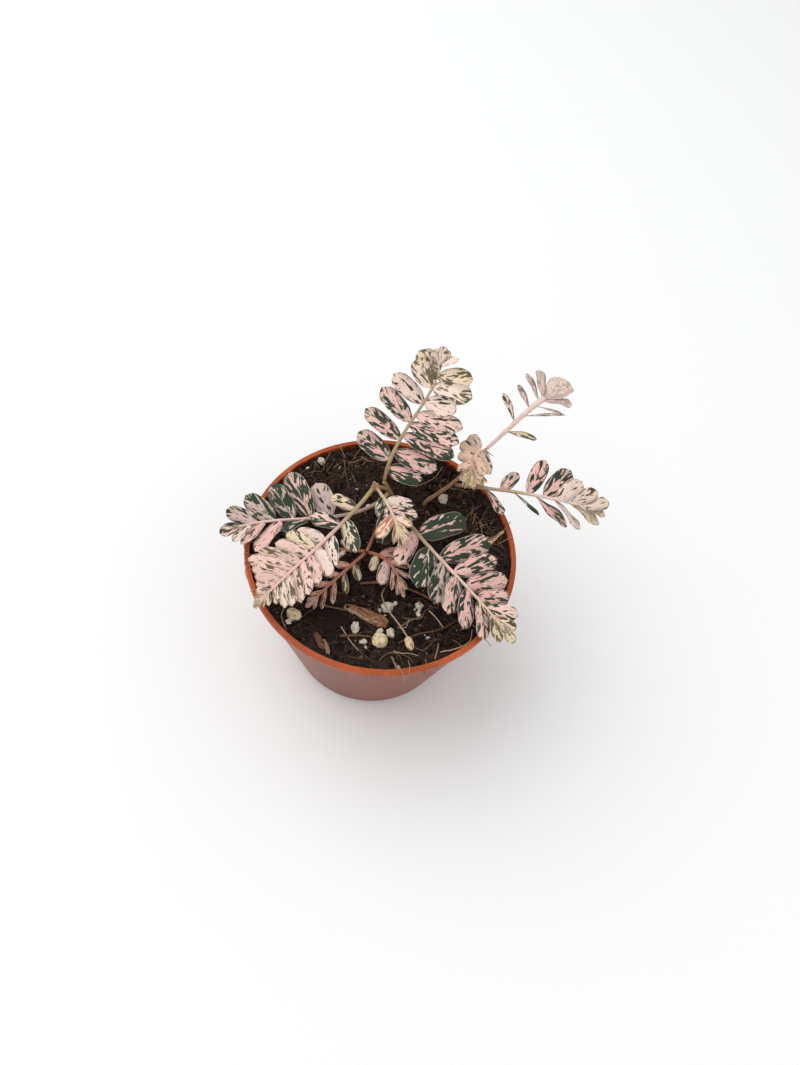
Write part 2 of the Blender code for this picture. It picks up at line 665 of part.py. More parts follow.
def stems(holder):
    """Makes the three stems, and returns the cutters of the holes that they stand in."""
    main = stem("stem_main", MAIN_STEM, MAIN_RADIUS, 1.0, OLD_STEM)
    fork = smooth_route([Vector(p) for p in MAIN_FORK], 3)
    arm = new_object("fork", tube(fork, (MAIN_RADIUS * 0.95, MAIN_RADIUS * 0.9)))
    stub = new_object("stub", tube([Vector(MAIN_KNOB), Vector(MAIN_STUB)], STUB_RADII))
    knob = bmesh.new()
    bmesh.ops.create_icosphere(
        knob, subdivisions=1, radius=KNOB_RADIUS, matrix=Matrix.Translation(MAIN_KNOB)
    )
    apply_boolean(main, "UNION", [arm, stub, new_object("knob", knob)])
    right = stem("stem_right", RIGHT_STEM, RIGHT_RADIUS, 0.75, OLD_STEM)
    bracts = []
    for k, tip in enumerate(BRACT_TIPS):
        bracts.append(new_object(f"bract_{k}", tube([Vector(BRACT_FOOT), Vector(tip)], BRACT_RADII)))
    apply_boolean(right, "UNION", bracts)
    low = stem("stem_low", LOW_STEM, LOW_RADIUS, 1.0, RED_STEM)
    holes = []
    for obj, points, radius in (
        (main, MAIN_STEM, MAIN_RADIUS), (right, RIGHT_STEM, RIGHT_RADIUS), (low, LOW_STEM, LOW_RADIUS),
    ):
        keep_outer_body(obj)
        settle(obj, points[1], holder)
        holes.append(stem_hole(f"hole_of_{obj.name}", points, radius * FOOT_SWELL))
    return holes


# Branchlets

def rachis_points(plant, count):
    """Points, directions and upward normals along a branchlet, stepped from its bearings and climbs."""
    steps = STEPS_A_RING * (count - 1)
    point = Vector(plant.start)
    frames = []
    for k in range(steps + 1):
        t = k / steps
        bearing = math.radians(three_way(plant.bearings, t))
        climb = math.radians(three_way(plant.climbs, t))
        level = Vector((math.cos(bearing), math.sin(bearing), 0))
        along = level * math.cos(climb) + Vector((0, 0, math.sin(climb)))
        left = Vector((-level.y, level.x, 0))
        if k % STEPS_A_RING == 0:
            frames.append((point.copy(), along, along.cross(left)))
        point = point + along * (plant.length / steps)
    return frames


def frame_at(frames, t):
    place = t * (len(frames) - 1)
    k = min(int(place), len(frames) - 2)
    share = place - k
    point, along, up = (a.lerp(b, share) for a, b in zip(frames[k], frames[k + 1]))
    return point, along.normalized(), up.normalized()


def leaf_half_width(t, width):
    """Half the width of a leaflet at a share of its length: oblong, and widest past the middle."""
    power = math.log(0.5) / math.log(WIDEST_AT)
    round_part = max(0.0, 1 - abs(2 * t**power - 1) ** SQUARENESS) ** 0.5
    return max(PETIOLE_HALF_WIDTH * (1 - t), BLUNT * width / 2 * t**3, width / 2 * round_part)


def leaf_point(t, v, length, width, sag, fold):
    """A point of the blade's middle surface: t runs from base to tip and v from edge to edge."""
    half = leaf_half_width(t, width)
    run = length * (t - TIP_ROUND * v * v * t**8)
    rise = fold * half * abs(v) - EDGE_DROOP * half * v * v - sag * length * t * t
    return Vector((run, v * half, rise))


def leaf_normal(t, v, length, width, sag, fold):
    """The direction that the blade faces at one of its points."""
    step = 0.01
    low, high = max(t - step, 0.0), min(t + step, 1.0)
    along = leaf_point(high, 0, length, width, sag, fold) - leaf_point(low, 0, length, width, sag, fold)
    slope = (fold - 2 * EDGE_DROOP * abs(v)) * v
    return along.cross(Vector((0, 1, slope))).normalized()


def leaflet(bm, place, length, width, sag, fold):
    """Adds one closed blade to a bmesh, without its midrib where it is small. place is its own frame."""
    small = length < SMALL_LENGTH
    stations = (*(SMALL_STATIONS if small else LEAF_STATIONS), 1.0)
    across = (-1, 1) if small else (-1, 0, 1)
    upper, lower = [], []
    for t in stations:
        row_up, row_down = [], []
        for v in across:
            at = leaf_point(t, v, length, width, sag, fold)
            facing = leaf_normal(t, 0 if small else v, length, width, sag, fold)
            row_up.append(bm.verts.new(place @ (at + facing * BLADE / 2)))
            row_down.append(bm.verts.new(place @ (at - facing * BLADE / 2)))
        upper.append(row_up)
        lower.append(row_down)
    for rows, flip in ((upper, False), (lower, True)):
        for a, b in zip(rows, rows[1:]):
            for k in range(len(across) - 1):
                corners = ((a[k], a[k + 1], b[k]), (a[k + 1], b[k + 1], b[k]))
                if across[k] == 0:
                    corners = ((a[k], a[k + 1], b[k + 1]), (a[k], b[k + 1], b[k]))
                for three in corners:
                    bm.faces.new(reversed(three) if flip else three)
    last, edge = len(stations) - 1, len(across) - 1
    outline = [(0, k) for k in range(edge + 1)] + [(k, edge) for k in range(1, last + 1)]
    outline += [(last, k) for k in range(edge - 1, -1, -1)] + [(k, 0) for k in range(last - 1, 0, -1)]
    for (i, j), (m, n) in zip(outline, outline[1:] + outline[:1]):
        bm.faces.new((upper[i][j], lower[i][j], lower[m][n]))
        bm.faces.new((upper[i][j], lower[m][n], upper[m][n]))


def leaf_places(plant, frames):
    """Where each leaflet stands, as (matrix, length, width, sag, fold), with a little seeded variety."""
    draw = random.Random(plant.seed)
    found = []
    for side, row in ((1, plant.left), (-1, plant.right)):
        for place, length, width, angle in row.leaflets:
            point, along, up = frame_at(frames, place)
            left = up.cross(along)
            turn = math.radians(angle)
            lift = math.radians(row.lift + draw.uniform(-LIFT_SPREAD, LIFT_SPREAD))
            roll = math.radians(row.roll + draw.uniform(-ROLL_SPREAD, ROLL_SPREAD)) * side
            flat = along * math.cos(turn) + left * side * math.sin(turn)
            out = flat * math.cos(lift) + up * math.sin(lift)
            normal = Matrix.Rotation(roll, 3, out) @ (up * math.cos(lift) - flat * math.sin(lift))
            sag = SAG * draw.uniform(*SAG_SPREAD)
            found.append((placed(point, out, normal), length, width, sag, row.fold))
    point, along, up = frame_at(frames, 0.98)
    found.append((placed(point, along, up), *plant.end_leaf, SAG, END_LEAF_FOLD))
    return found


def placed(point, out, normal):
    """The matrix that puts a leaflet's length along out and its face along normal."""
    across = normal.cross(out).normalized()
    axes = Matrix((out, across, out.cross(across))).transposed().to_4x4()
    axes.translation = point
    return axes


def branchlet(plant, holder):
    frames = rachis_points(plant, RACHIS_RINGS)
    body = new_object(plant.name, tube([f[0] for f in frames], plant.radii), plant.colour)
    leaves = []
    for k, (place, length, width, sag, fold) in enumerate(leaf_places(plant, frames)):
        bm = bmesh.new()
        leaflet(bm, place, length, width, sag, fold)
        leaves.append(new_object(f"leaf_{k}", bm))
    apply_boolean(body, "UNION", leaves)
    keep_outer_body(body)
    settle(body, plant.start, holder)


def main():
    clear_scene()
    holder = bpy.data.objects.new("potted_chamber_bitter", None)
    bpy.context.scene.collection.objects.link(holder)
    settle(pot(), (0, 0, 0), holder)
    ground = soil()
    apply_boolean(ground, "DIFFERENCE", [*stems(holder), *grains(holder), bark(holder)])
    keep_outer_body(ground)
    settle(ground, (0, 0, 0), holder)
    surface = ground_reader(ground)
    root_strand(surface, holder)
    dry_stalk(surface, holder)
    for plant in BRANCHLETS:
        branchlet(plant, holder)


main()
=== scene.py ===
"""The looks of a potted chamber bitter: pot, soil, stems and variegated leaflets, in a pale studio.

The file is laid out as an add-on. Shapes are worked out in millimetres and made in metres. +Z is up, -Y is
the front, and bearings are counted in degrees from +X towards +Y. Colours are linear red, green and blue.
"""

import math
import random
from dataclasses import dataclass

import bmesh
import bpy
import numpy as np
from bpy.props import FloatProperty, FloatVectorProperty, IntProperty, PointerProperty
from mathutils import Matrix, Vector, noise
from mathutils.bvhtree import BVHTree


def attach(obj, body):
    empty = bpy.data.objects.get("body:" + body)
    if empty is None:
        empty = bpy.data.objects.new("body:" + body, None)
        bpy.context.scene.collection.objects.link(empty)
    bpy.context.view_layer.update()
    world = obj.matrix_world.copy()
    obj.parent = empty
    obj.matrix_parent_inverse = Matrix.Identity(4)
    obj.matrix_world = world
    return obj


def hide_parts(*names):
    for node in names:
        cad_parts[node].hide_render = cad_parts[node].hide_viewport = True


bl_info = {
    "name": "Potted Chamber Bitter",
    "version": (1, 0, 0),
    "blender": (4, 5, 0),
    "location": "View3D > Sidebar > Chamber Bitter",
    "description": "Makes a small variegated leafy plant in a thin nursery pot, with its soil and studio",
    "category": "Add Mesh",
}

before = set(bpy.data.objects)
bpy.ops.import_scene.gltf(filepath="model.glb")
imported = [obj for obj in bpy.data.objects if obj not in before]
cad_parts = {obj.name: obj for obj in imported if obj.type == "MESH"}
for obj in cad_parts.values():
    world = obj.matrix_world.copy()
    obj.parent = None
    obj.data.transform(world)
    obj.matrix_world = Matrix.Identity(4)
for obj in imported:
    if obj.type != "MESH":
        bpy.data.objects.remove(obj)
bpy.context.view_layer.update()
BODY = "root"
MM = 0.001
BLACK = (0.0, 0.0, 0.0)
# How far a tube's points reach past it, as a share of its radius
TUBE_POINT = 0.4

# Pot
POT_HEIGHT, RIM_RADIUS = 73.0, 52.5
RIM_WIDTH, RIM_DEPTH = 2.1, 2.4
BASE_RADIUS, BASE_CORNER, WALL = 34.0, 1.6, 0.9
CHANNEL_INNER, CHANNEL_OUTER, CHANNEL_RISE = 14.0, 27.0, 1.5
DRAIN_HOLES, DRAIN_RADIUS = 6, 3.0
FOOT_NOTCHES, NOTCH_LENGTH, NOTCH_WIDTH, NOTCH_HEIGHT = 4, 16.0, 8.0, 1.2
POT_SIDES, FILLET_STEPS = 192, 5
CHANNEL_FILLET, RIM_BAND = 0.6, 7.0
CUTTER_LENGTH, CUTTER_SIDES, POT_SHARP = 12.0, 32, 40.0

# Soil
SOIL_LEVEL, SOIL_RELIEF = 69.0, 1.1
LUMP_SIZE, CRUMB_SIZE, CRUMB_SHARE = 15.0, 6.5, 0.6
EDGE_FROM, EDGE_RISE = 0.7, 2.2
SOIL_SEED = Vector((3.7, 1.9, 0.4))
# Layers of crumbs: size, factor of the seed
CRUMB_LAYERS = ((3.1, 3), (1.5, 5), (0.75, 7))
SOIL_CELLS, SOIL_GAP, SOIL_EDGE_GAP = 240, 0.3, 0.12
SOIL_LUMP = (0.058, 0.026, 0.016)

# Leaflets and branchlets
PETIOLE_HALF_WIDTH = 0.38
SQUARENESS, TIP_ROUND = 2.9, 0.035
SAG, EDGE_DROOP, END_LEAF_FOLD = 0.10, 0.10, 0.2
LIFT_SPREAD, ROLL_SPREAD, SAG_SPREAD = 4.0, 3.0, (0.6, 1.5)
RACHIS_RINGS, STEPS_A_RING, RACHIS_SIDES = 41, 10, 14
# A rachis swells at each leaflet's foot, over this length and by this share
NODE_REACH, NODE_SWELL = 1.1, 0.16
STIPULE_LENGTH, STIPULE_RADII = 1.3, (0.26, 0.22, 0.13, 0.03)
EDGE_WAVE, VEIN_RELIEF, VEIN_SPACING = 0.15, 0.030, 1.7
BLADE_COLUMNS, NARROW_COLUMNS, NARROW_WIDTH = 11, 5, 2.0
# The end leaf and the tuft leave a rachis at this share of its length
TIP_PLACE = 0.98
# Painted shade on the side of a leaflet that lies under the next one
OVERLAP_PAINTED_SHADE = (0.05, 0.028, 0.022)
# Added to a branchlet's own seed
MOTTLE_SEED, TUFT_SEED, STIPULE_SEED = 100, 200, 300


def colour(name, description, default):
    return FloatVectorProperty(
        name=name, description=description, subtype="COLOR", size=3, min=0.0, max=1.0, default=default
    )


class ChamberStage(bpy.types.PropertyGroup):
    """The floor, the lights and the camera."""

    floor: colour("Floor", "Colour of the floor", (0.93, 0.95, 0.965))
    world: FloatProperty(
        name="Room light", description="Strength of the light from all sides", default=0.71, min=0.0
    )
    key: FloatProperty(name="Window", description="Power of the large soft light", unit="POWER", default=8.5)
    fill: FloatProperty(name="Fill", description="Power of the light opposite", unit="POWER", default=0.9)
    lens: FloatProperty(name="Lens", description="Focal length", unit="CAMERA", default=32.45, min=10.0)


class ChamberPot(bpy.types.PropertyGroup):
    """The moulded nursery pot."""

    plastic: colour("Plastic", "Colour of the pot", (0.50, 0.108, 0.036))
    dust: FloatProperty(
        name="Dust", description="How much soil sticks to it", subtype="FACTOR", default=0.35,
        min=0.0, max=1.0,
    )
    roughness: FloatProperty(
        name="Roughness", description="Roughness of the plastic", subtype="FACTOR", default=0.30,
        min=0.0, max=1.0,
    )


class ChamberSoil(bpy.types.PropertyGroup):
    """The potting mix and what lies on it."""

    peat: colour("Peat", "Colour of the dark mix", (0.011, 0.0062, 0.0045))
    fibre: colour("Fibre", "Colour of its coarse brown fibres", (0.17, 0.075, 0.040))
    straw: colour("Straw", "Colour of dry stalks", (0.62, 0.46, 0.29))
    perlite: colour("Perlite", "Colour of the white grains", (0.76, 0.69, 0.58))
    pumice: colour("Pumice", "Colour of the stained grains", (0.78, 0.54, 0.22))
    bark: colour("Bark", "Colour of the bark chip", (0.25, 0.108, 0.056))
    crumbs: IntProperty(name="Crumbs", description="Number of loose crumbs", default=3600, min=0)
    fibres: IntProperty(name="Fibres", description="Number of short fibres", default=1300, min=0)
    roots: IntProperty(name="Roots", description="Number of long fibres", default=110, min=0)
    wall_fibres: IntProperty(
        name="Wall fibres", description="Number of fibres near the wall", default=150, min=0
    )


class ChamberLeaves(bpy.types.PropertyGroup):
    """Leaflets, rachises and stems."""

    thickness: FloatProperty(
        name="Leaflet", description="Thickness of a leaflet", unit="LENGTH", default=0.00026, min=0.0001
    )
    pink: colour("Pink", "Main colour of most leaflets", (0.765, 0.440, 0.410))
    blush: colour("Blush", "Pale pink of the front left shoot", (0.85, 0.565, 0.505))
    mauve: colour("Mauve", "Greyish pink of shaded leaflets", (0.62, 0.45, 0.43))
    pale: colour("Pale", "Nearly white pink", (0.825, 0.65, 0.575))
    peach: colour("Peach", "Warm pink of the young rosette", (0.98, 0.67, 0.50))
    cream: colour("Cream", "Cream of the older tips", (0.76, 0.61, 0.42))
    butter: colour("Butter", "Yellowish cream of young tips", (0.85, 0.64, 0.32))
    salmon: colour("Salmon", "Reddish pink of the low shoots", (0.84, 0.42, 0.34))
    rust: colour("Rust", "Reddish brown of their narrow leaflets", (0.62, 0.27, 0.18))
    green: colour("Green", "Dark green of the streaks", (0.024, 0.043, 0.022))
    olive: colour("Olive", "Streaks on cream leaflets", (0.15, 0.12, 0.05))
    umber: colour("Umber", "Brownish streaks on pale leaflets", (0.10, 0.060, 0.045))
    half_tone: colour("Half tone", "Grey green patches under the pink", (0.43, 0.39, 0.31))
    tan: colour("Tan", "Rachis of the older shoots", (0.47, 0.34, 0.20))
    moss: colour("Moss", "Olive green rachis", (0.42, 0.33, 0.15))
    red: colour("Red", "Rachis of the low shoots", (0.49, 0.15, 0.08))
    brown: colour("Brown", "Old stems", (0.36, 0.185, 0.09))


class ChamberSettings(bpy.types.PropertyGroup):
    """All the settings of the plant in its pot."""

    stage: PointerProperty(type=ChamberStage)
    pot: PointerProperty(type=ChamberPot)
    soil: PointerProperty(type=ChamberSoil)
    leaves: PointerProperty(type=ChamberLeaves)


# Shader expressions

class Wire:
    """An output in a material. Python's operators on it add Math nodes."""

    def __init__(self, net, socket):
        self.net = net
        self.socket = socket

    def math(self, operation, *others):
        return self.net.node("ShaderNodeMath", {"operation": operation}, dict(enumerate((self, *others))))

    def __add__(self, other):
        return self.math("ADD", other)

    def __sub__(self, other):
        return self.math("SUBTRACT", other)

    def __rsub__(self, other):
        return self.net.node("ShaderNodeMath", {"operation": "SUBTRACT"}, {0: other, 1: self})

    def __mul__(self, other):
        return self.math("MULTIPLY", other)

    __radd__ = __add__
    __rmul__ = __mul__


class Net:
    """The node tree of one material, with its Principled BSDF."""

    def __init__(self, name):
        self.material = bpy.data.materials.new(name)
        self.material.use_nodes = True
        self.tree = self.material.node_tree
        self.surface = self.tree.nodes["Principled BSDF"]

    def put(self, socket, value):
        if isinstance(value, Wire):
            self.tree.links.new(value.socket, socket)
        elif socket.type == "RGBA":
            socket.default_value = (*value, 1.0)
        else:
            socket.default_value = value

    def node(self, kind, settings=None, values=None, output=0):
        made = self.tree.nodes.new(kind)
        for key, value in (settings or {}).items():
            setattr(made, key, value)
        for key, value in (values or {}).items():
            self.put(made.inputs[key], value)
        return Wire(self, made.outputs[output])

    def finish(self, **values):
        """Sets the surface's sockets, with _ for a space in their names, and gives the material."""
        for key, value in values.items():
            self.put(self.surface.inputs[key.replace("_", " ")], value)
        return self.material

    def attribute(self, name):
        return self.node("ShaderNodeAttribute", {"attribute_name": name}, output="Vector")

    def tint(self, name="tint"):
        return self.node("ShaderNodeAttribute", {"attribute_name": name}, output="Color")

    def parts(self, vector):
        return [self.node("ShaderNodeSeparateXYZ", None, {0: vector}, k) for k in range(3)]

    def vector(self, x, y, z):
        return self.node("ShaderNodeCombineXYZ", None, {0: x, 1: y, 2: z})

    def place(self):
        """The point on the piece, in millimetres."""
        point = self.node("ShaderNodeTexCoord", output="Object")
        return self.node("ShaderNodeVectorMath", {"operation": "SCALE"}, {0: point, "Scale": 1 / MM})

    def noise(self, vector, scale=1.0, detail=2.0, roughness=0.5, distortion=0.0):
        values = {"Vector": vector, "Scale": scale, "Detail": detail, "Roughness": roughness}
        return self.node("ShaderNodeTexNoise", None, {**values, "Distortion": distortion})

    def cells(self, vector, scale):
        return self.node("ShaderNodeTexVoronoi", None, {"Vector": vector, "Scale": scale})

    def step(self, value, low, high):
        """0 below low and 1 above high, or the other way round where low is the larger."""
        settings = {"interpolation_type": "SMOOTHSTEP"}
        return self.node("ShaderNodeMapRange", settings, {"Value": value, "From Min": low, "From Max": high})

    def mix(self, share, first, second):
        """A colour between two, with the sockets of the Mix node that are for colours."""
        return self.node("ShaderNodeMix", {"data_type": "RGBA"}, {0: share, 6: first, 7: second}, 2)

    def bump(self, height, depth):
        """Relief from a height between 0 and 1, with its depth in millimetres."""
        return self.node("ShaderNodeBump", None, {"Height": height, "Distance": depth * MM}, "Normal")


# Objects and meshes

def new_object(name, data):
    """An object in the scene."""
    made = bpy.data.objects.new(name, data)
    bpy.context.scene.collection.objects.link(made)
    return made


class Shape:
    """Points and faces gathered for one piece, with named values at each point."""

    def __init__(self):
        self.points = []
        self.faces = []
        self.values = {}
        self.count = 0

    def add(self, points, faces, **values):
        points = np.asarray(points, float).reshape(-1, 3)
        self.points.append(points)
        self.faces.extend(tuple(k + self.count for k in face) for face in faces)
        for name, value in values.items():
            self.values.setdefault(name, []).append(np.broadcast_to(value, (len(points), 3)))
        self.count += len(points)

    def make(self, name, material, sharp=60.0):
        """The finished piece, which rides on the body. It is smooth but for edges sharper than an angle."""
        old = bpy.data.objects.get(name)
        if old:
            bpy.data.objects.remove(old, do_unlink=True)
        mesh = bpy.data.meshes.new(name)
        mesh.from_pydata(np.concatenate(self.points) * MM, [], self.faces)
        for key, value in self.values.items():
            layer = mesh.attributes.new(key, "FLOAT_VECTOR", "POINT")
            layer.data.foreach_set("vector", np.concatenate(value).astype(np.float32).ravel())
        mesh.materials.append(material)
        mesh.shade_smooth()
        mesh.set_sharp_from_angle(angle=math.radians(sharp))
        made = new_object(name, mesh)
        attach(made, BODY)
        return made


def stops_at(stops, place, pick):
    """What pick gives for the stops on both sides of a place, mixed. A stop starts with its own place."""
    low = high = stops[0]
    for stop in stops:
        high = stop
        if stop[0] >= place:
            break
        low = stop
    span = high[0] - low[0]
    share = min(max((place - low[0]) / span, 0.0), 1.0) if span > 0 else 0.0
    return np.asarray(pick(low), float) * (1 - share) + np.asarray(pick(high), float) * share


def directions(points):
    """Unit directions along a line of points."""
    along = np.gradient(points, axis=0)
    return along / np.maximum(np.linalg.norm(along, axis=1, keepdims=True), 1e-9)


def add_tube(shape, points, radii, sides, tint, seed=0.0, flat=1.0):
    """A closed tube along points, with a radius at each. Its ends are drawn out to points. flat is its
    thickness as a share of its width."""
    points = np.asarray(points, float)
    radii = np.broadcast_to(radii, len(points))
    along = directions(points)
    side = np.cross(along[0], (0.0, 0.0, 1.0))
    if np.linalg.norm(side) < 0.05:
        side = np.array((1.0, 0.0, 0.0))
    angles = 2 * np.pi * np.arange(sides) / sides
    rings, places = [], []
    length = 0.0
    for k, (point, direction, radius) in enumerate(zip(points, along, radii)):
        side = side - direction * side.dot(direction)
        side /= max(np.linalg.norm(side), 1e-9)
        up = np.cross(side, direction)
        rings.append(point + radius * (np.outer(np.cos(angles), side) + flat * np.outer(np.sin(angles), up)))
        if k:
            length += np.linalg.norm(point - points[k - 1])
        places.append([(length, angle, seed) for angle in angles])
    count = len(points)
    ends = [points[0] - along[0] * radii[0] * TUBE_POINT, points[-1] + along[-1] * radii[-1] * TUBE_POINT]
    faces = []
    for ring in range(count - 1):
        for k in range(sides):
            a, b = ring * sides + k, ring * sides + (k + 1) % sides
            faces.append((a, a + sides, b + sides, b))
    start, end, last = count * sides, count * sides + 1, (count - 1) * sides
    for k in range(sides):
        following = (k + 1) % sides
        faces.append((start, k, following))
        faces.append((end, last + following, last + k))
    colours = np.broadcast_to(tint, (count, 3))
    colours = np.concatenate([np.repeat(colours, sides, axis=0), colours[:1], colours[-1:]])
    places = np.concatenate([np.concatenate(places), [(0.0, 0.0, seed), (length, 0.0, seed)]])
    shape.add(np.concatenate([*rings, ends]), faces, tint=colours, along=places)


def smooth_line(points, steps):
    """Points along a Catmull-Rom curve through the given ones."""
    points = [np.asarray(p, float) for p in points]
    padded = [2 * points[0] - points[1], *points, 2 * points[-1] - points[-2]]
    line = []
    for a, b, c, d in zip(padded, padded[1:], padded[2:], padded[3:]):
        square = 2 * a - 5 * b + 4 * c - d
        cube = 3 * b - a - 3 * c + d
        for k in range(steps):
            t = k / steps
            line.append(0.5 * (2 * b + (c - a) * t + square * t**2 + cube * t**3))
    line.append(points[-1])
    return np.array(line)


def ball(subdivisions):
    """Points and faces of an icosphere of radius 1."""
    bm = bmesh.new()
    bmesh.ops.create_icosphere(bm, subdivisions=subdivisions, radius=1.0)
    points = np.array([vert.co for vert in bm.verts])
    faces = [tuple(vert.index for vert in face.verts) for face in bm.faces]
    bm.free()
    return points, faces


def turn_about(axis, angle):
    """A rotation, with its angle in radians."""
    return np.array(Matrix.Rotation(angle, 3, axis))


def polar(radius, angle):
    """The x and y of a point at a radius, with its angle in radians."""
    return radius * math.cos(angle), radius * math.sin(angle)


def scaled(shade, factor):
    """A colour times a factor."""
    return tuple(factor * part for part in shade)


# Stage

CAMERA_DISTANCE, CAMERA_ELEVATION = 370.2, 58.83
CAMERA_YAW, CAMERA_PITCH, CAMERA_ROLL = -0.94, 1.07, 8.19
FLOOR_RADIUS, FLOOR_SIDES = 5000.0, 96
ROOM_COLOUR = (1.0, 0.99, 0.98, 1.0)
# Lights: name, place, side in metres, colour
WINDOW = ("window", (-640, 240, 1060), 1.3, (1.0, 0.985, 0.96))
FILL = ("fill", (520, -420, 520), 0.9, (1.0, 0.98, 0.96))


def floor_material(look):
    """A matte floor with faint clouds."""
    net = Net("studio_floor")
    cloud = net.noise(net.place(), 0.004, 3)
    shade = net.mix(cloud, look.floor, scaled(look.floor, 0.985))
    return net.finish(Base_Color=shade, Roughness=0.85, Specular_IOR_Level=0.1)


def make_floor(look):
    """A wide round floor."""
    bm = bmesh.new()
    bmesh.ops.create_circle(bm, cap_ends=True, segments=FLOOR_SIDES, radius=FLOOR_RADIUS * MM)
    mesh = bpy.data.meshes.new("studio_floor")
    bm.to_mesh(mesh)
    bm.free()
    mesh.materials.append(floor_material(look))
    floor = new_object("studio_floor", mesh)


def make_light(power, name, place, size, shade):
    """A square soft light that faces the plant."""
    data = bpy.data.lights.new(name, "AREA")
    data.energy = power
    data.shape = "SQUARE"
    data.size = size
    data.color = shade
    light = new_object(name, data)
    light.location = Vector(place) * MM
    towards = Vector((0, 0, SOIL_LEVEL)) * MM - light.location
    light.rotation_euler = towards.to_track_quat("-Z", "Y").to_euler()


def make_camera(look):
    """The camera, which looks down on the pot's rim and is then turned a little."""
    data = bpy.data.cameras.new("camera")
    data.lens = look.lens
    camera = new_object("camera", data)
    elevation = math.radians(CAMERA_ELEVATION)
    back = Vector((0, -math.cos(elevation), math.sin(elevation)))
    place = Matrix.Translation((Vector((0, 0, POT_HEIGHT)) + back * CAMERA_DISTANCE) * MM)
    camera.matrix_world = (
        place
        @ Matrix.Rotation(math.radians(90 - CAMERA_ELEVATION), 4, "X")
        @ Matrix.Rotation(math.radians(CAMERA_YAW), 4, "Y")
        @ Matrix.Rotation(math.radians(CAMERA_PITCH), 4, "X")
        @ Matrix.Rotation(math.radians(CAMERA_ROLL), 4, "Z")
    )
    bpy.context.scene.camera = camera


class CHAMBER_OT_stage(bpy.types.Operator):
    """Makes the floor, the lights and the camera"""

    bl_idname = "chamber_bitter.stage"
    bl_label = "Stage"

    def execute(self, context):
        look = context.scene.chamber_bitter.stage
        make_floor(look)
        world = bpy.data.worlds.new("studio")
        world.use_nodes = True
        background = world.node_tree.nodes["Background"]
        background.inputs["Color"].default_value = ROOM_COLOUR
        background.inputs["Strength"].default_value = look.world
        context.scene.world = world
        context.scene.view_settings.view_transform = "Standard"
        make_light(look.key, *WINDOW)
        make_light(look.fill, *FILL)
        make_camera(look)
        return {"FINISHED"}


# Pot

def wall_radius(z):
    """Radius of the wall's outer face at a height."""
    top = RIM_RADIUS - RIM_WIDTH + WALL
    low, high = BASE_CORNER, POT_HEIGHT - RIM_DEPTH
    return BASE_RADIUS + (top - BASE_RADIUS) * (z - low) / (high - low)


def floor_corners(lift):
    """The stepped floor as (radius, height, fillet) corners, lifted above the underside."""
    return [
        (0.0, lift, 0.0),
        (CHANNEL_INNER, lift, CHANNEL_FILLET),
        (CHANNEL_INNER + CHANNEL_RISE, CHANNEL_RISE + lift, CHANNEL_FILLET),
        (CHANNEL_OUTER - CHANNEL_RISE, CHANNEL_RISE + lift, CHANNEL_FILLET),
        (CHANNEL_OUTER, lift, CHANNEL_FILLET),
    ]


def filleted(corners):
    """A line through (radius, height, fillet) corners, each rounded within its fillet."""
    line = []
    for k, (radius, height, fillet) in enumerate(corners):
        here = np.array((radius, height))
        if not fillet:
            line.append(here)
            continue
        before = np.array(corners[k - 1][:2]) - here
        after = np.array(corners[k + 1][:2]) - here
        reach = min(fillet, 0.48 * np.linalg.norm(before), 0.48 * np.linalg.norm(after))
        start = here + before / np.linalg.norm(before) * reach
        end = here + after / np.linalg.norm(after) * reach
        for t in np.linspace(0, 1, FILLET_STEPS):
            line.append(start * (1 - t) ** 2 + 2 * here * t * (1 - t) + end * t**2)
    return line


def turned(profile, sides):
    """Points and faces of a solid of revolution whose profile starts and ends on the axis."""
    angles = 2 * np.pi * np.arange(sides) / sides
    circle = np.stack([np.cos(angles), np.sin(angles)], axis=1)
    points = [np.array([(0.0, 0.0, profile[0][1])])]
    for radius, height in profile[1:-1]:
        points.append(np.column_stack([circle * radius, np.full(sides, height)]))
    points.append(np.array([(0.0, 0.0, profile[-1][1])]))
    last = 1 + (len(profile) - 2) * sides
    faces = []
    for k in range(sides):
        following = (k + 1) % sides
        faces.append((0, 1 + following, 1 + k))
        faces.append((last, last - sides + k, last - sides + following))
        for ring in range(len(profile) - 3):
            a, b = 1 + ring * sides + k, 1 + ring * sides + following
            faces.append((a, b, b + sides, a + sides))
    return np.concatenate(points), faces


def pot_profile():
    """The pot's section, from the middle of its underside round the rim to the middle of its floor."""
    rim_low = POT_HEIGHT - RIM_DEPTH
    inner_rim = RIM_RADIUS - RIM_WIDTH
    corners = floor_corners(0.0) + [
        (BASE_RADIUS - BASE_CORNER, 0.0, 0.5),
        (BASE_RADIUS, BASE_CORNER, 1.2),
        (wall_radius(rim_low - RIM_BAND), rim_low - RIM_BAND, 0.5),
        (wall_radius(rim_low), rim_low, 0.35),
        (RIM_RADIUS, rim_low, 0.3),
        (RIM_RADIUS, POT_HEIGHT - 0.25, 0.7),
        (inner_rim + 1.3, POT_HEIGHT, 0.25),
        (inner_rim + 1.05, POT_HEIGHT - 0.12, 0.1),
        (inner_rim + 0.8, POT_HEIGHT, 0.25),
        (inner_rim, POT_HEIGHT - 0.1, 0.5),
        (inner_rim - 0.05, rim_low, 0.5),
        (wall_radius(2 * WALL) - WALL, 2.2 * WALL, 0.5),
        (BASE_RADIUS - BASE_CORNER - 0.5 * WALL, WALL, 0.3),
    ]
    return filleted(corners + list(reversed(floor_corners(WALL))))


def cutter(bm):
    """A hidden object that cuts the pot."""
    mesh = bpy.data.meshes.new("cutter")
    bmesh.ops.scale(bm, vec=(MM, MM, MM), verts=bm.verts)
    bm.to_mesh(mesh)
    bm.free()
    return new_object("cutter", mesh)


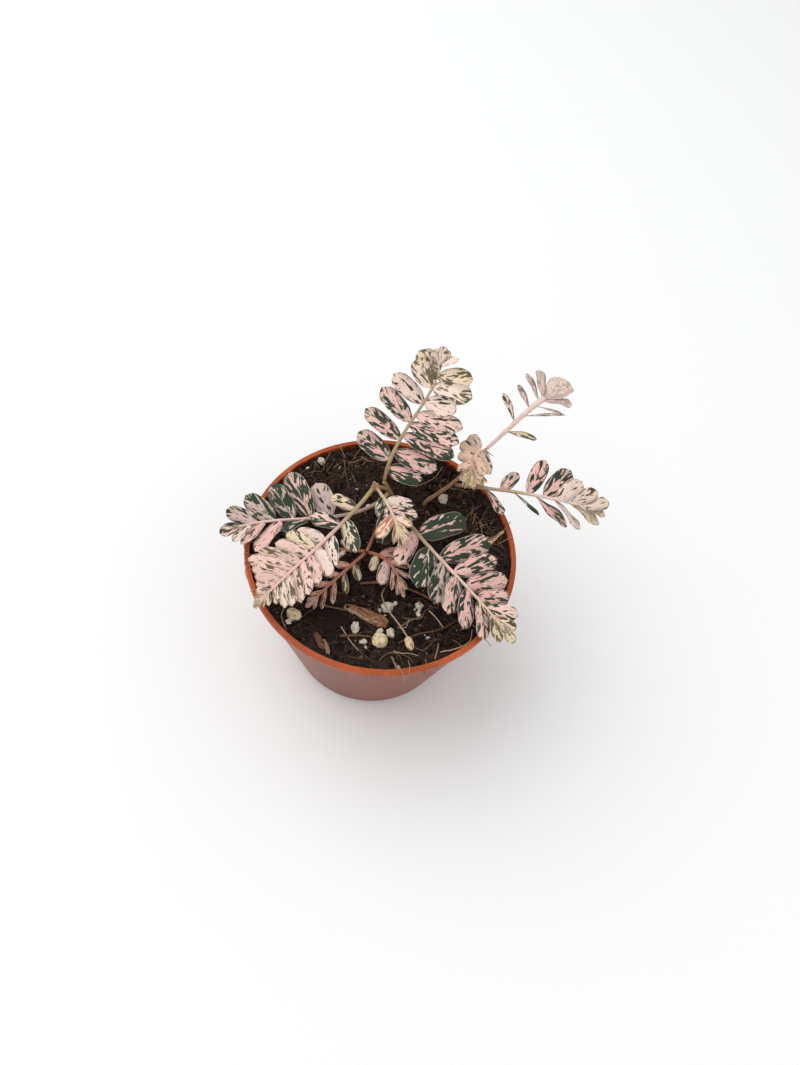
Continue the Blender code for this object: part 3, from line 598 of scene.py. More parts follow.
def cut(target, cutters):
    """Cuts objects out of the target, and removes them."""
    group = bpy.data.collections.new("cutters")
    bpy.context.scene.collection.children.link(group)
    for made in cutters:
        group.objects.link(made)
    modifier = target.modifiers.new("openings", "BOOLEAN")
    modifier.operand_type = "COLLECTION"
    modifier.collection = group
    bpy.context.view_layer.update()
    graph = bpy.context.evaluated_depsgraph_get()
    target.data = bpy.data.meshes.new_from_object(target.evaluated_get(graph))
    target.modifiers.clear()
    for made in cutters:
        bpy.data.objects.remove(made, do_unlink=True)
    bpy.data.collections.remove(group)


def pot_openings():
    """Cutters of the drain holes and of the notches in the foot."""
    cutters = []
    middle = 0.5 * (CHANNEL_INNER + CHANNEL_OUTER)
    for k in range(DRAIN_HOLES):
        angle = 2 * math.pi * (k + 0.5) / DRAIN_HOLES
        bm = bmesh.new()
        place = Matrix.Translation((*polar(middle, angle), 2))
        bmesh.ops.create_cone(
            bm, cap_ends=True, segments=CUTTER_SIDES, radius1=DRAIN_RADIUS, radius2=DRAIN_RADIUS,
            depth=CUTTER_LENGTH, matrix=place,
        )
        cutters.append(cutter(bm))
    for k in range(FOOT_NOTCHES):
        bm = bmesh.new()
        turn = Matrix.Rotation(2 * math.pi * (k + 0.5) / FOOT_NOTCHES, 4, "Z")
        size = Matrix.Diagonal((NOTCH_LENGTH, NOTCH_WIDTH, 2 * NOTCH_HEIGHT, 1.0))
        bmesh.ops.create_cube(bm, size=1.0, matrix=turn @ Matrix.Translation((BASE_RADIUS, 0, 0)) @ size)
        cutters.append(cutter(bm))
    return cutters


# Tints over the plastic; the dark one on the outer wall is painted shade
POT_WORN = (1.22, 1.55, 1.9)
POT_DAMP, POT_WALL_PAINTED_SHADE = (0.060, 0.024, 0.014), (0.13, 0.018, 0.004)
POT_SMEAR, POT_SPECK = (0.13, 0.050, 0.026), (0.050, 0.022, 0.014)


def pot_material(look):
    """Thin plastic, worn at the top, damp above the soil, dusty on the wall and darkened there with painted
    shade.
    """
    net = Net("thin_plastic")
    place = net.place()
    x, y, height = net.parts(place)
    cloud = net.noise(place, 0.06, 3)
    grain = net.noise(place, 1.4, 3, 0.6)
    plastic = tuple(look.plastic)
    worn = tuple(min(1.0, c * k) for c, k in zip(plastic, POT_WORN))
    shade = net.mix(net.step(cloud, 0.35, 0.68), scaled(plastic, 0.72), plastic)
    top = net.step(height, POT_HEIGHT - 1.2, POT_HEIGHT)
    rub = net.step(net.noise(place, 0.55, 4, 0.7), 0.52, 0.72) * top
    shade = net.mix(rub * 0.55, shade, worn)
    radius = (x * x + y * y).math("SQRT")
    inner_rim = RIM_RADIUS - RIM_WIDTH
    inside = net.step(radius, inner_rim + 0.35, inner_rim + 0.05)
    inside = inside * net.step(height, SOIL_LEVEL - 1.0, SOIL_LEVEL - 0.4)
    damp = inside * net.step(net.noise(place, 0.30, 5, 0.75) - (height - POT_HEIGHT) * 0.05, 0.46, 0.60)
    shade = net.mix(damp * 0.85, shade, POT_DAMP)
    # Painted shade: the outer wall below the rim is darkened as if it lay in shadow
    wall = net.step(height, POT_HEIGHT - RIM_DEPTH + 0.3, POT_HEIGHT - RIM_DEPTH - 0.8)
    shade = net.mix(wall * 0.74, shade, POT_WALL_PAINTED_SHADE)
    high = net.step(height, POT_HEIGHT - 9.0, POT_HEIGHT - 1.0)
    smear = net.step(net.noise(place, 0.22, 4, 0.65), 0.60 - 0.12 * look.dust, 0.78) * high
    specks = net.step(net.noise(place, 1.1, 3, 0.7), 0.655, 0.69) * (high * 0.8 + 0.2)
    shade = net.mix(smear * 0.5, shade, POT_SMEAR)
    shade = net.mix(specks * look.dust * 2.2, shade, POT_SPECK)
    roughness = look.roughness + grain * 0.10 + smear * 0.30
    return net.finish(
        Base_Color=shade, Roughness=roughness, Specular_IOR_Level=0.16, Normal=net.bump(grain, 0.035)
    )


class CHAMBER_OT_pot(bpy.types.Operator):
    """Makes the moulded pot with its rolled rim, foot and drain holes"""

    bl_idname = "chamber_bitter.pot"
    bl_label = "Pot"

    def execute(self, context):
        shape = Shape()
        shape.add(*turned(pot_profile(), POT_SIDES))
        pot = shape.make("pot_moulding", pot_material(context.scene.chamber_bitter.pot), POT_SHARP)
        cut(pot, pot_openings())
        pot.data.set_sharp_from_angle(angle=math.radians(POT_SHARP))
        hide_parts("pot")
        return {"FINISHED"}


# Soil

def soil_height(x, y):
    """Height of the lumpy surface, which rises beside the wall."""
    place = Vector((x, y, 0.0))
    lumps = noise.noise(place / LUMP_SIZE + SOIL_SEED)
    lumps += CRUMB_SHARE * noise.noise(place / CRUMB_SIZE + 2 * SOIL_SEED)
    edge = max(0.0, math.hypot(x, y) / (RIM_RADIUS - RIM_WIDTH) - EDGE_FROM) / (1 - EDGE_FROM)
    return SOIL_LEVEL + SOIL_RELIEF * lumps + EDGE_RISE * edge * edge


def crumbly_height(x, y):
    """The surface with its crumbs."""
    place = Vector((x, y, 0.0))
    coarse, fine, finest = (noise.noise(place / size + k * SOIL_SEED) for size, k in CRUMB_LAYERS)
    return soil_height(x, y) + 0.55 * coarse + 0.75 * abs(fine) + 0.28 * finest - 0.25


def disc_grid(cells, radius):
    """A square grid bent to a disc, as columns of (x, y), so that its cells stay alike in size."""
    side = np.linspace(-1, 1, cells + 1)
    a, b = np.meshgrid(side, side, indexing="ij")
    longer = np.maximum(np.abs(a), np.abs(b))
    length = np.maximum(np.hypot(a, b), 1e-9)
    return np.stack([a * longer / length, b * longer / length], axis=-1) * radius


def soil_shape():
    """The crumbly top, on a body that follows the pot's inside down to its stepped floor."""
    shape = Shape()
    count = SOIL_CELLS + 1
    flat = disc_grid(SOIL_CELLS, wall_radius(SOIL_LEVEL) - WALL - SOIL_EDGE_GAP).reshape(-1, 2)
    points = [(x, y, crumbly_height(x, y)) for x, y in flat]
    faces = []
    for i in range(SOIL_CELLS):
        for j in range(SOIL_CELLS):
            corner = i * count + j
            faces.append((corner, corner + count, corner + count + 1, corner + 1))
    border = [i * count for i in range(SOIL_CELLS)] + [SOIL_CELLS * count + j for j in range(SOIL_CELLS)]
    border += [i * count + SOIL_CELLS for i in range(SOIL_CELLS, 0, -1)] + list(range(SOIL_CELLS, 0, -1))
    low = WALL + SOIL_GAP
    foot = [(wall_radius(2 * WALL) - low, 1.2 * WALL + low), (BASE_RADIUS - BASE_CORNER - WALL, low)]
    foot += [corner[:2] for corner in reversed(floor_corners(low))][:-1]
    previous = border
    for radius, height in foot:
        ring = list(range(len(points), len(points) + len(border)))
        for k in border:
            x, y, _ = points[k]
            reach = radius / math.hypot(x, y)
            points.append((x * reach, y * reach, height))
        for k in range(len(border)):
            following = (k + 1) % len(border)
            faces.append((previous[k], ring[k], ring[following], previous[following]))
        previous = ring
    points.append((0.0, 0.0, low))
    for k in range(len(border)):
        faces.append((previous[k], len(points) - 1, previous[(k + 1) % len(border)]))
    shape.add(points, faces)
    return shape


def soil_material(look):
    """Dark peat with brown fibres, and with wet spots that shine."""
    net = Net("moist_peat")
    place = net.place()
    coarse = net.noise(place, 0.16, 4, 0.6)
    fine = net.noise(place, 0.9, 5, 0.7)
    finest = net.noise(place, 3.2, 4, 0.7)
    shade = net.mix(net.step(fine, 0.36, 0.66), scaled(look.peat, 0.35), scaled(look.peat, 2.0))
    shade = net.mix(net.step(coarse, 0.48, 0.66) * 0.42, shade, SOIL_LUMP)
    shade = net.mix(net.step(finest, 0.66, 0.78) * 0.5, shade, look.fibre)
    height = fine * 0.6 + finest * 0.4
    wet = net.step(net.noise(place, 2.2, 2), 0.54, 0.64)
    return net.finish(
        Base_Color=shade, Roughness=0.90 - wet * 0.62, Specular_IOR_Level=0.32, Normal=net.bump(height, 0.7)
    )


class CHAMBER_OT_soil(bpy.types.Operator):
    """Makes the block of potting mix with its crumbly top"""

    bl_idname = "chamber_bitter.soil"
    bl_label = "Soil"

    def execute(self, context):
        soil = soil_shape().make("soil_block", soil_material(context.scene.chamber_bitter.soil), 70.0)
        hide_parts("soil")
        return {"FINISHED"}


def ground_reader():
    """A function that gives the soil's height at a point, in millimetres."""
    tree = BVHTree.FromObject(bpy.data.objects["soil_block"], bpy.context.evaluated_depsgraph_get())

    def height(x, y):
        hit = tree.ray_cast(Vector((x, y, 200)) * MM, Vector((0, 0, -1)))
        return hit[0].z / MM if hit[0] else SOIL_LEVEL

    return height


# Litter on the soil

LITTER_REACH = 48.8
# The first count is of pale specks, part perlite and part painted glints of the wet soil
PERLITE_AND_GLINT_SPECKS, RIM_CRUMBS, CRUMBS_A_SPOT = 280, 70, 4
CRUMB_SEED, SPECK_SEED, FIBRE_SEED, RIM_SEED = 5, 8, 6, 9
FIBRE_BEARINGS = (-25.0, 160.0)
FIBRE_SIDES, TWIG_SIDES, HAIR_SIDES, HAIR_RADIUS = 3, 7, 5, 0.13
BALL_POINTS, BALL_FACES = ball(1)


def litter_material(name, roughness=0.9):
    """Dry plant matter in the colour given at each point, with fine streaks."""
    net = Net(name)
    along, around, seed = net.parts(net.attribute("along"))
    streak = net.noise(net.vector(along * 0.8, around * 1.6, seed), 1.6, 3, 0.6)
    shade = net.mix(net.step(streak, 0.30, 0.70), net.mix(0.45, net.tint(), BLACK), net.tint())
    return net.finish(
        Base_Color=shade, Roughness=roughness, Specular_IOR_Level=0.15, Normal=net.bump(streak, 0.08)
    )


def random_place(draw):
    """A random point on the soil."""
    return polar(LITTER_REACH * math.sqrt(draw.random()), draw.uniform(0, 2 * math.pi))


def add_crumb(shape, place, size, draw, tint):
    """A small rough lump."""
    stretch = np.array([draw.uniform(0.55, 1.0), draw.uniform(0.45, 0.9), draw.uniform(0.3, 0.7)]) * size
    rough = np.array([draw.uniform(0.68, 1.15) for _ in BALL_POINTS])[:, None]
    axis = (draw.uniform(-1, 1), draw.uniform(-1, 1), draw.uniform(-1, 1) + 1.2)
    points = (BALL_POINTS * rough * stretch) @ turn_about(axis, draw.uniform(0, 6.28)).T + np.array(place)
    shape.add(points, BALL_FACES, tint=tint, along=(points - place) / size + draw.uniform(0, 50))


def add_fibre(shape, ground, draw, tint, length, radius, start=None, arch=0.16):
    """A thin bent fibre that follows the soil or arches over it."""
    x, y = random_place(draw) if start is None else start
    bearing = draw.uniform(0, 2 * math.pi)
    steps = 7 + round(length / 3)
    bend = draw.uniform(-2.0, 2.0) / steps
    rise = draw.uniform(0.0, arch) * length * draw.random()
    points = []
    for k in range(steps):
        share = k / (steps - 1)
        if math.hypot(x, y) > LITTER_REACH:
            break
        lift = rise * math.sin(math.pi * share) + draw.uniform(0.0, 0.25)
        points.append((x, y, ground(x, y) + radius + lift))
        bearing += bend + draw.uniform(-0.22, 0.22)
        x += math.cos(bearing) * length / steps
        y += math.sin(bearing) * length / steps
    if len(points) > 2:
        radii = radius * np.linspace(1.0, 0.55, len(points))
        add_tube(shape, points, radii, FIBRE_SIDES, tint, draw.uniform(0, 90))


def vary(draw, shade, spread):
    """A colour made lighter or darker at random."""
    return np.clip(np.array(shade) * (1 + draw.uniform(-spread, spread)), 0, 1)


# Stalks and twigs on the soil: points as (x, y, height above the soil), radius, colour
TWIGS = (
    (((-10.8, -34.4, 1.4), (-6.4, -39.8, 0.9), (-2.6, -43.2, 0.6)), 0.16, "pale"),
    (((-3.0, -42.9, 0.6), (0.2, -45.2, 0.7), (3.4, -46.8, 0.7)), 0.12, "dull"),
    (((-10.5, -38.4, 0.5), (-5.0, -37.2, 0.7), (0.6, -36.6, 0.6)), 0.55, "brown"),
    (((-19.0, -26.7, 0.8), (-14.5, -27.3, 1.2), (-9.2, -27.9, 1.6)), 0.42, "dull"),
    (((-19.6, -26.5, 0.8), (-23.2, -29.8, 0.6), (-26.5, -33.6, 0.5)), 0.16, "dull"),
    (((41.6, 10.5, 0.2), (44.2, 13.4, 0.4), (46.6, 16.2, 0.6)), 0.80, "gold"),
    (((45.8, 15.2, 1.0), (47.2, 17.2, 3.2), (48.9, 19.6, 5.2)), 0.22, "tan"),
    (((11.0, -37.4, 0.4), (17.9, -32.9, 1.2), (24.5, -30.4, 1.0), (31.4, -25.4, 0.8)), 0.30, "brown"),
    (((21.0, -22.6, 0.8), (24.0, -25.4, 0.8), (26.6, -28.6, 0.8)), 0.30, "straw"),
    (((5.0, -45.3, 0.5), (6.6, -43.4, 1.0), (9.7, -42.2, 1.3), (12.3, -43.0, 0.8)), 0.14, "tan"),
    (((9.6, -41.0, 0.6), (11.6, -41.9, 1.2), (15.5, -41.7, 1.4), (18.8, -42.1, 0.8)), 0.18, "straw"),
    (((13.8, -26.6, 0.8), (13.3, -29.8, 0.8), (11.9, -31.1, 0.9), (9.9, -31.2, 0.6)), 0.16, "pale"),
    (((26.6, -39.8, 0.9), (33.4, -37.0, 1.8), (37.0, -33.4, 1.6), (37.6, -28.4, 0.8)), 0.22, "straw"),
    (((17.4, -38.9, 0.7), (20.2, -39.6, 1.0), (22.2, -37.4, 0.8), (24.6, -34.0, 0.5)), 0.20, "dull"),
    (((24.9, -43.0, 1.0), (25.3, -39.4, 2.2), (25.6, -36.4, 1.4)), 0.32, "tan"),
    (((21.6, -49.0, 1.2), (22.0, -46.0, 1.8), (21.4, -43.6, 1.0)), 0.28, "tan"),
    (((9.2, -44.2, 0.8), (10.2, -46.4, 1.6), (11.4, -48.6, 2.6)), 0.34, "tan"),
    (((18.4, -25.5, 0.5), (14.0, -28.2, 1.4), (10.6, -31.4, 0.6)), 0.28, "tan"),
    (((12.0, -27.0, 0.4), (18.0, -26.6, 1.2), (19.6, -22.6, 1.0), (24.2, -20.4, 0.6)), 0.24, "dull"),
    (((-31.8, -27.0, 1.2), (-33.0, -33.6, 0.9), (-30.2, -39.2, 0.6)), 0.26, "tan"),
    (((29.0, -32.6, 0.5), (32.4, -34.6, 1.2), (35.6, -36.4, 1.6)), 0.24, "dull"),
    (((33.5, -16.4, 0.5), (38.6, -12.0, 1.0), (42.6, -6.0, 0.8)), 0.24, "tan"),
    (((36.0, 2.0, 0.6), (39.6, 9.6, 1.8), (45.2, 14.6, 2.4)), 0.26, "tan"),
    (((-20.5, 40.4, 0.8), (-18.7, 33.6, 1.6), (-16.2, 27.6, 0.6)), 0.13, "dull"),
    (((-26.0, 34.0, 0.5), (-22.0, 33.4, 1.0), (-18.0, 33.8, 0.6)), 0.12, "dull"),
    (((-16.5, 35.1, 0.6), (-15.4, 33.2, 1.0), (-14.3, 31.4, 0.6)), 0.16, "tan"),
    (((-31.7, 37.0, 0.8), (-31.4, 33.6, 1.4), (-32.8, 29.6, 0.8)), 0.20, "dull"),
    (((-26.4, 42.2, 1.2), (-27.6, 38.0, 1.8), (-28.2, 34.0, 0.8)), 0.16, "tan"),
    (((-38.4, 36.2, 1.4), (-37.6, 33.4, 1.6), (-36.7, 31.4, 0.8)), 0.16, "tan"),
    (((39.9, 27.1, 1.4), (37.9, 21.4, 1.0), (37.3, 17.5, 0.6)), 0.13, "dull"),
    (((45.1, 22.7, 1.0), (42.4, 20.8, 1.6), (40.3, 15.2, 0.8)), 0.13, "dull"),
    (((37.3, 20.4, 0.8), (38.0, 17.0, 1.6), (38.8, 13.0, 0.8)), 0.28, "tan"),
    (((10.0, 33.0, 0.8), (17.0, 37.6, 1.8), (20.0, 43.6, 1.0)), 0.26, "tan"),
)

# Fine roots over the rim: bearing, sideways drift, drop below the rim
RIM_HAIRS = (
    (-75.0, 1.6, 11.0), (-72.0, -1.0, 5.0), (-161.0, 2.0, 4.0), (-150.0, -1.6, 3.0), (118.0, 2.0, 2.0),
    (-168.0, -1.4, 1.6), (-173.0, 1.2, 1.0), (-164.0, -0.6, 2.2), (15.0, 1.0, 0.6),
)

# Broad dark flakes of peat and split brown ones: x, y, length, width, thickness, bearing, colour
FLAKES = (
    (-18.4, -32.0, 15.0, 8.0, 1.1, -14.0, "dark"),
    (-17.6, -41.6, 7.5, 2.6, 1.4, -58.0, "brown"),
    (-14.8, -43.4, 6.5, 1.5, 1.0, -66.0, "tan"),
    (-8.0, -30.8, 7.0, 4.0, 1.0, 20.0, "dark"),
    (28.6, -34.4, 6.0, 3.4, 1.2, 40.0, "dark"),
    (-30.6, 4.0, 8.0, 4.0, 1.4, 70.0, "dark"),
    (9.0, 38.0, 7.0, 3.0, 1.2, -30.0, "brown"),
    (34.6, 12.0, 7.0, 3.4, 1.3, 65.0, "brown"),
    (14.0, 8.0, 8.0, 4.0, 1.2, 10.0, "dark"),
)

# Small white grains: x, y, size
PERLITE_BITS = (
    (-30.0, -35.4, 1.5), (-28.6, -34.6, 1.0), (-31.0, -37.4, 0.8), (8.6, -16.2, 1.3), (7.8, -21.2, 1.5),
    (2.6, -24.6, 1.2), (4.6, -26.4, 0.8), (17.2, -23.9, 1.4), (15.6, -22.4, 0.7), (3.4, -33.8, 1.7),
    (-0.6, -40.6, 0.8), (21.6, -33.6, 1.0), (20.4, -32.6, 0.7), (-7.7, 20.4, 1.5), (22.6, 30.6, 1.4),
    (-34.5, 33.8, 1.1), (-21.8, 37.1, 0.8), (-13.4, 27.8, 1.1), (40.6, 3.6, 0.8), (12.0, -47.6, 0.9),
    (-1.4, -45.8, 0.7),
)

# Soil stuck to the wall: bearing, drop below the top, size
WALL_DIRT = (
    (-103, 3.6, 0.8), (-101, 4.2, 0.5), (-105, 4.4, 0.4), (-91, 8.0, 0.4), (-88, 8.6, 0.5), (-86, 9.6, 0.35),
    (-83, 3.2, 0.5), (-84, 12.0, 0.3), (-150, 3.0, 0.5), (-60, 4.0, 0.4), (20, 3.4, 0.4), (95, 5.0, 0.5),
)


def litter_tints(look):
    """Colours of dry plant matter, by name."""
    straw, fibre = np.array(look.straw), np.array(look.fibre)
    return {
        "straw": straw, "gold": straw * 1.45, "pale": straw * 0.6 + 0.30, "tan": 0.36 * straw + 0.7 * fibre,
        "dull": 0.8 * fibre + 0.06, "brown": fibre * 1.1, "dark": np.array(look.peat) * 1.6,
    }


def add_flake(shape, ground, flake, tints, draw):
    """A thin split flake that lies on the soil."""
    x, y, length, width, thickness, bearing, shade = flake
    turn = turn_about("Z", math.radians(bearing)) @ turn_about("Y", draw.uniform(-0.12, 0.12))
    points, faces = ball(3)
    rough = [1 + 0.34 * noise.noise(Vector(p) * 1.9 + Vector((x, y, 0))) for p in points]
    points = np.sign(points) * np.abs(points) ** 0.7 * np.array(rough)[:, None]
    points = points * np.array((length, width, thickness)) / 2
    middle = np.array((x, y, max(ground(x, y), soil_height(x, y)) + 0.1 * thickness))
    shape.add(points @ turn.T + middle, faces, tint=tints[shade], along=points * (0.4, 2.5, 1.0) + x)


def make_loose_crumbs(look, ground):
    """Crumbs all over the soil, and broad flakes at chosen places."""
    tints = litter_tints(look)
    draw = random.Random(CRUMB_SEED)
    shape = Shape()
    kinds = [look.peat] * 11 + [tints["brown"] * 0.4] * 3 + [tints["brown"] * 0.7] + [tints["dull"] * 0.7]
    for _ in range(look.crumbs):
        x, y = random_place(draw)
        size = 0.30 + 1.25 * draw.random() ** 3
        tint = vary(draw, kinds[draw.randrange(len(kinds))], 0.5)
        add_crumb(shape, (x, y, ground(x, y) + 0.2 * size), size, draw, tint)
    for flake in FLAKES:
        add_flake(shape, ground, flake, tints, draw)
    shape.make("soil_crumbs", litter_material("loose_crumbs"), 50.0)


def make_perlite_and_glint_specks(look, ground):
    """Pale specks all over the soil, part perlite and part painted glints of the wet soil, and small grains
    at chosen places.
    """
    draw = random.Random(SPECK_SEED)
    shape = Shape()
    # Pale specks: part perlite, part painted glints that stand in for shine on the wet soil
    for _ in range(PERLITE_AND_GLINT_SPECKS):
        x, y = random_place(draw)
        size = 0.16 + 0.34 * draw.random() ** 2
        add_crumb(shape, (x, y, ground(x, y) + 0.3 * size), size, draw, vary(draw, look.perlite, 0.2))
    for x, y, size in PERLITE_BITS:
        add_crumb(shape, (x, y, ground(x, y) + 0.35 * size), size * 1.3, draw, vary(draw, look.perlite, 0.1))
    shape.make("perlite_specks", litter_material("perlite_dust"), 50.0)


def make_fibres(look, ground):
    """Short fibres, long ones, and a fringe of them beside the wall."""
    tints = litter_tints(look)
    draw = random.Random(FIBRE_SEED)
    shape = Shape()
    kinds = [tints["brown"]] * 5 + [tints["dull"] * 0.7] * 4
    kinds += [tints["brown"] * 0.4] * 7 + [tints["tan"] * 0.7] * 2
    for _ in range(look.fibres):
        tint = vary(draw, kinds[draw.randrange(len(kinds))], 0.3)
        length = draw.uniform(2.0, 6.0) + 6.0 * draw.random() ** 4
        add_fibre(shape, ground, draw, tint, length, draw.uniform(0.05, 0.14))
    for _ in range(look.roots):
        tint = vary(draw, tints[("tan", "dull", "brown", "brown", "brown")[draw.randrange(5)]] * 0.75, 0.4)
        add_fibre(shape, ground, draw, tint, draw.uniform(8.0, 20.0), draw.uniform(0.08, 0.18))
    for _ in range(look.wall_fibres):
        angle = math.radians(draw.uniform(*FIBRE_BEARINGS))
        reach = LITTER_REACH * draw.uniform(0.78, 1.0)
        start = polar(reach, angle)
        tint = vary(draw, tints[("tan", "dull", "brown")[draw.randrange(3)]] * 1.25, 0.4)
        add_fibre(shape, ground, draw, tint, draw.uniform(4.0, 11.0), draw.uniform(0.08, 0.20), start, 0.7)
    shape.make("soil_fibres", litter_material("brown_fibres"))


def rim_hair(bearing, drift, drop):
    """The route of a root from the soil over the rim and down outside it."""
    turn = turn_about("Z", math.radians(bearing))
    outer = RIM_RADIUS + 0.2
    points = (
        (RIM_RADIUS - 6.0, -drift, SOIL_LEVEL + 1.0), (RIM_RADIUS - 2.2, -0.5 * drift, POT_HEIGHT + 0.1),
        (outer - 0.8, 0.0, POT_HEIGHT + 0.2), (outer, 0.3 * drift, POT_HEIGHT - 1.2),
        (outer - 0.2, drift, POT_HEIGHT - 2.0 - 0.5 * drop),
        (outer - 0.4 - 0.2 * drop, 1.3 * drift, POT_HEIGHT - 2.0 - drop),
    )
    return smooth_line([turn @ np.array(p) for p in points], 6)


def make_twigs(look, ground):
    """Twigs at chosen places, and root hairs over the rim."""
    tints = litter_tints(look)
    shape = Shape()
    for seed, (points, radius, shade) in enumerate(TWIGS):
        route = smooth_line([(x, y, ground(x, y) + lift + radius) for x, y, lift in points], 8)
        for k, point in enumerate(route):
            knot = noise.noise(Vector(point) * 0.9)
            route[k] = point + np.array((0.25 * knot, -0.25 * knot, 0.2 * knot))
        radii = radius * np.linspace(1.0, 0.7, len(route))
        add_tube(shape, route, radii, TWIG_SIDES, tints[shade], seed * 3.7)
    for seed, hair in enumerate(RIM_HAIRS):
        add_tube(shape, rim_hair(*hair), HAIR_RADIUS, HAIR_SIDES, tints["straw"] * 0.9, seed)
    shape.make("loose_twigs", litter_material("dry_twigs", 0.75))


def make_rim_soil(look):
    """Crumbs that stick to the rim and to the wall under it."""
    draw = random.Random(RIM_SEED)
    shape = Shape()
    dark = np.array(look.peat) * 1.6 + np.array(look.fibre) * 0.15
    for _ in range(RIM_CRUMBS):
        angle = draw.uniform(0, 2 * math.pi)
        radius = draw.uniform(RIM_RADIUS - RIM_WIDTH + 0.2, RIM_RADIUS - 0.3)
        place = (*polar(radius, angle), POT_HEIGHT - 0.02)
        add_crumb(shape, place, draw.uniform(0.10, 0.32), draw, vary(draw, dark, 0.5))
    for bearing, drop, size in WALL_DIRT:
        height = POT_HEIGHT - drop
        reach = wall_radius(height) + 0.05
        angle = math.radians(bearing)
        for _ in range(CRUMBS_A_SPOT):
            spread = [draw.uniform(-1.1, 1.1) * size for _ in range(3)]
            place = (*polar(reach, angle + spread[0] * 0.03), height + spread[1])
            add_crumb(shape, place, size * draw.uniform(0.3, 0.7), draw, vary(draw, dark, 0.4))
    shape.make("rim_soil", litter_material("stuck_soil"), 50.0)


class CHAMBER_OT_litter(bpy.types.Operator):
    """Makes the crumbs, fibres, flakes, twigs and specks on the soil and rim"""

    bl_idname = "chamber_bitter.litter"
    bl_label = "Litter"

    def execute(self, context):
        look = context.scene.chamber_bitter.soil
        ground = ground_reader()
        make_loose_crumbs(look, ground)
        make_perlite_and_glint_specks(look, ground)
        make_fibres(look, ground)
        make_twigs(look, ground)
        make_rim_soil(look)
        return {"FINISHED"}


# Grains, bark, root and stalk

# Grains: node, x, y, size, bearing
GRAINS = (
    ("grain_pumice_front", 4.2, -37.6, (6.2, 5.6, 4.8), 0),
    ("grain_pumice_left", -28.8, -31.9, (6.2, 4.4, 3.8), -28),
    ("grain_perlite_front", 7.7, -33.7, (3.0, 3.8, 3.2), 10),
    ("grain_perlite_middle", 5.2, -22.8, (4.6, 4.0, 2.8), 0),
    ("grain_perlite_oval", -5.5, -33.8, (3.0, 4.8, 3.0), 5),
    ("grain_perlite_small", -1.9, -38.6, (2.9, 2.2, 2.0), 20),
    ("grain_perlite_pair", 17.0, -20.9, (2.8, 3.2, 2.6), 0),
    ("grain_perlite_back", 21.6, 29.0, (4.4, 3.6, 3.0), 101),
    ("grain_perlite_rear", -29.6, 38.2, (3.4, 3.0, 2.6), 141),
)
GRAIN_SUNK, GRAIN_ROUGHNESS = 0.36, 0.16
PUMICE_BODY, PERLITE_STAIN = (0.74, 0.63, 0.45), (0.52, 0.42, 0.28)
# The pore colour is painted shade
GRAIN_HOLLOW, GRAIN_PORE_PAINTED_SHADE = (0.14, 0.090, 0.055), (0.09, 0.058, 0.038)


def grain_material(name, body, stain, stained):
    """A porous grain with pits, painted shade in its pores, and a stain over a share of it."""
    net = Net(name)
    place = net.place()
    cloud = net.noise(place, 0.55, 4, 0.6)
    pores = net.cells(place, 2.4)
    fine = net.noise(place, 3.0, 3, 0.6)
    shade = net.mix(net.step(cloud, 0.62 - 0.30 * stained, 0.80 - 0.22 * stained), body, stain)
    shade = net.mix(net.step(fine, 0.52, 0.72) * 0.30, shade, scaled(stain, 0.55))
    low = 0.59 - 0.04 * stained
    hollow = net.step(net.noise(place, 1.1, 4, 0.7), low, low + 0.06) * (1.0 - 0.2 * stained)
    shade = net.mix(hollow * 0.75, shade, GRAIN_HOLLOW)
    # Painted shade: the pores are darkened as holes that the light does not reach
    shade = net.mix(net.step(pores, 0.15, 0.05) * 0.65, shade, GRAIN_PORE_PAINTED_SHADE)
    relief = net.step(pores, 0.0, 0.30) * 0.6 + fine * 0.3 - hollow * 0.5
    return net.finish(Base_Color=shade, Roughness=0.85, Specular_IOR_Level=0.25, Normal=net.bump(relief, 0.3))


def grain_shape(size, bearing, seed, place, lumps):
    """A rough pitted lump."""
    shape = Shape()
    points, faces = ball(4)
    turn = turn_about("Z", math.radians(bearing))
    moved = []
    for point in points:
        half = Vector(point) / 2
        rough = 1 + GRAIN_ROUGHNESS * noise.noise(half * 3.1 + Vector((seed, 0.3 * seed, 0)))
        lump = lumps * noise.noise(Vector(point) * 1.7 + Vector((2.0 * seed, 0, 5)))
        pit = 0.09 * min(0.0, noise.noise(Vector(point) * 5.0 + Vector((0, seed, 9))) + 0.1)
        moved.append(np.array(half) * np.array(size) * (rough + lump + pit))
    shape.add(np.array(moved) @ turn.T + np.array(place), faces)
    return shape


class CHAMBER_OT_grains(bpy.types.Operator):
    """Makes the large grains of perlite and pumice"""

    bl_idname = "chamber_bitter.grains"
    bl_label = "Grains"

    def execute(self, context):
        look = context.scene.chamber_bitter.soil
        white = grain_material("perlite_grain", scaled(look.perlite, 0.84), PERLITE_STAIN, 0.28)
        stained = grain_material("pumice_grain", PUMICE_BODY, look.pumice, 0.7)
        for k, (name, x, y, size, turn) in enumerate(GRAINS):
            place = (x, y, soil_height(x, y) + size[2] * (0.5 - GRAIN_SUNK))
            pumice = "pumice" in name
            shape = grain_shape(size, turn, k, place, 0.14 if pumice else 0.24)
            made = shape.make(name + "_stone", stained if pumice else white)
            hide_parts(name)
        return {"FINISHED"}


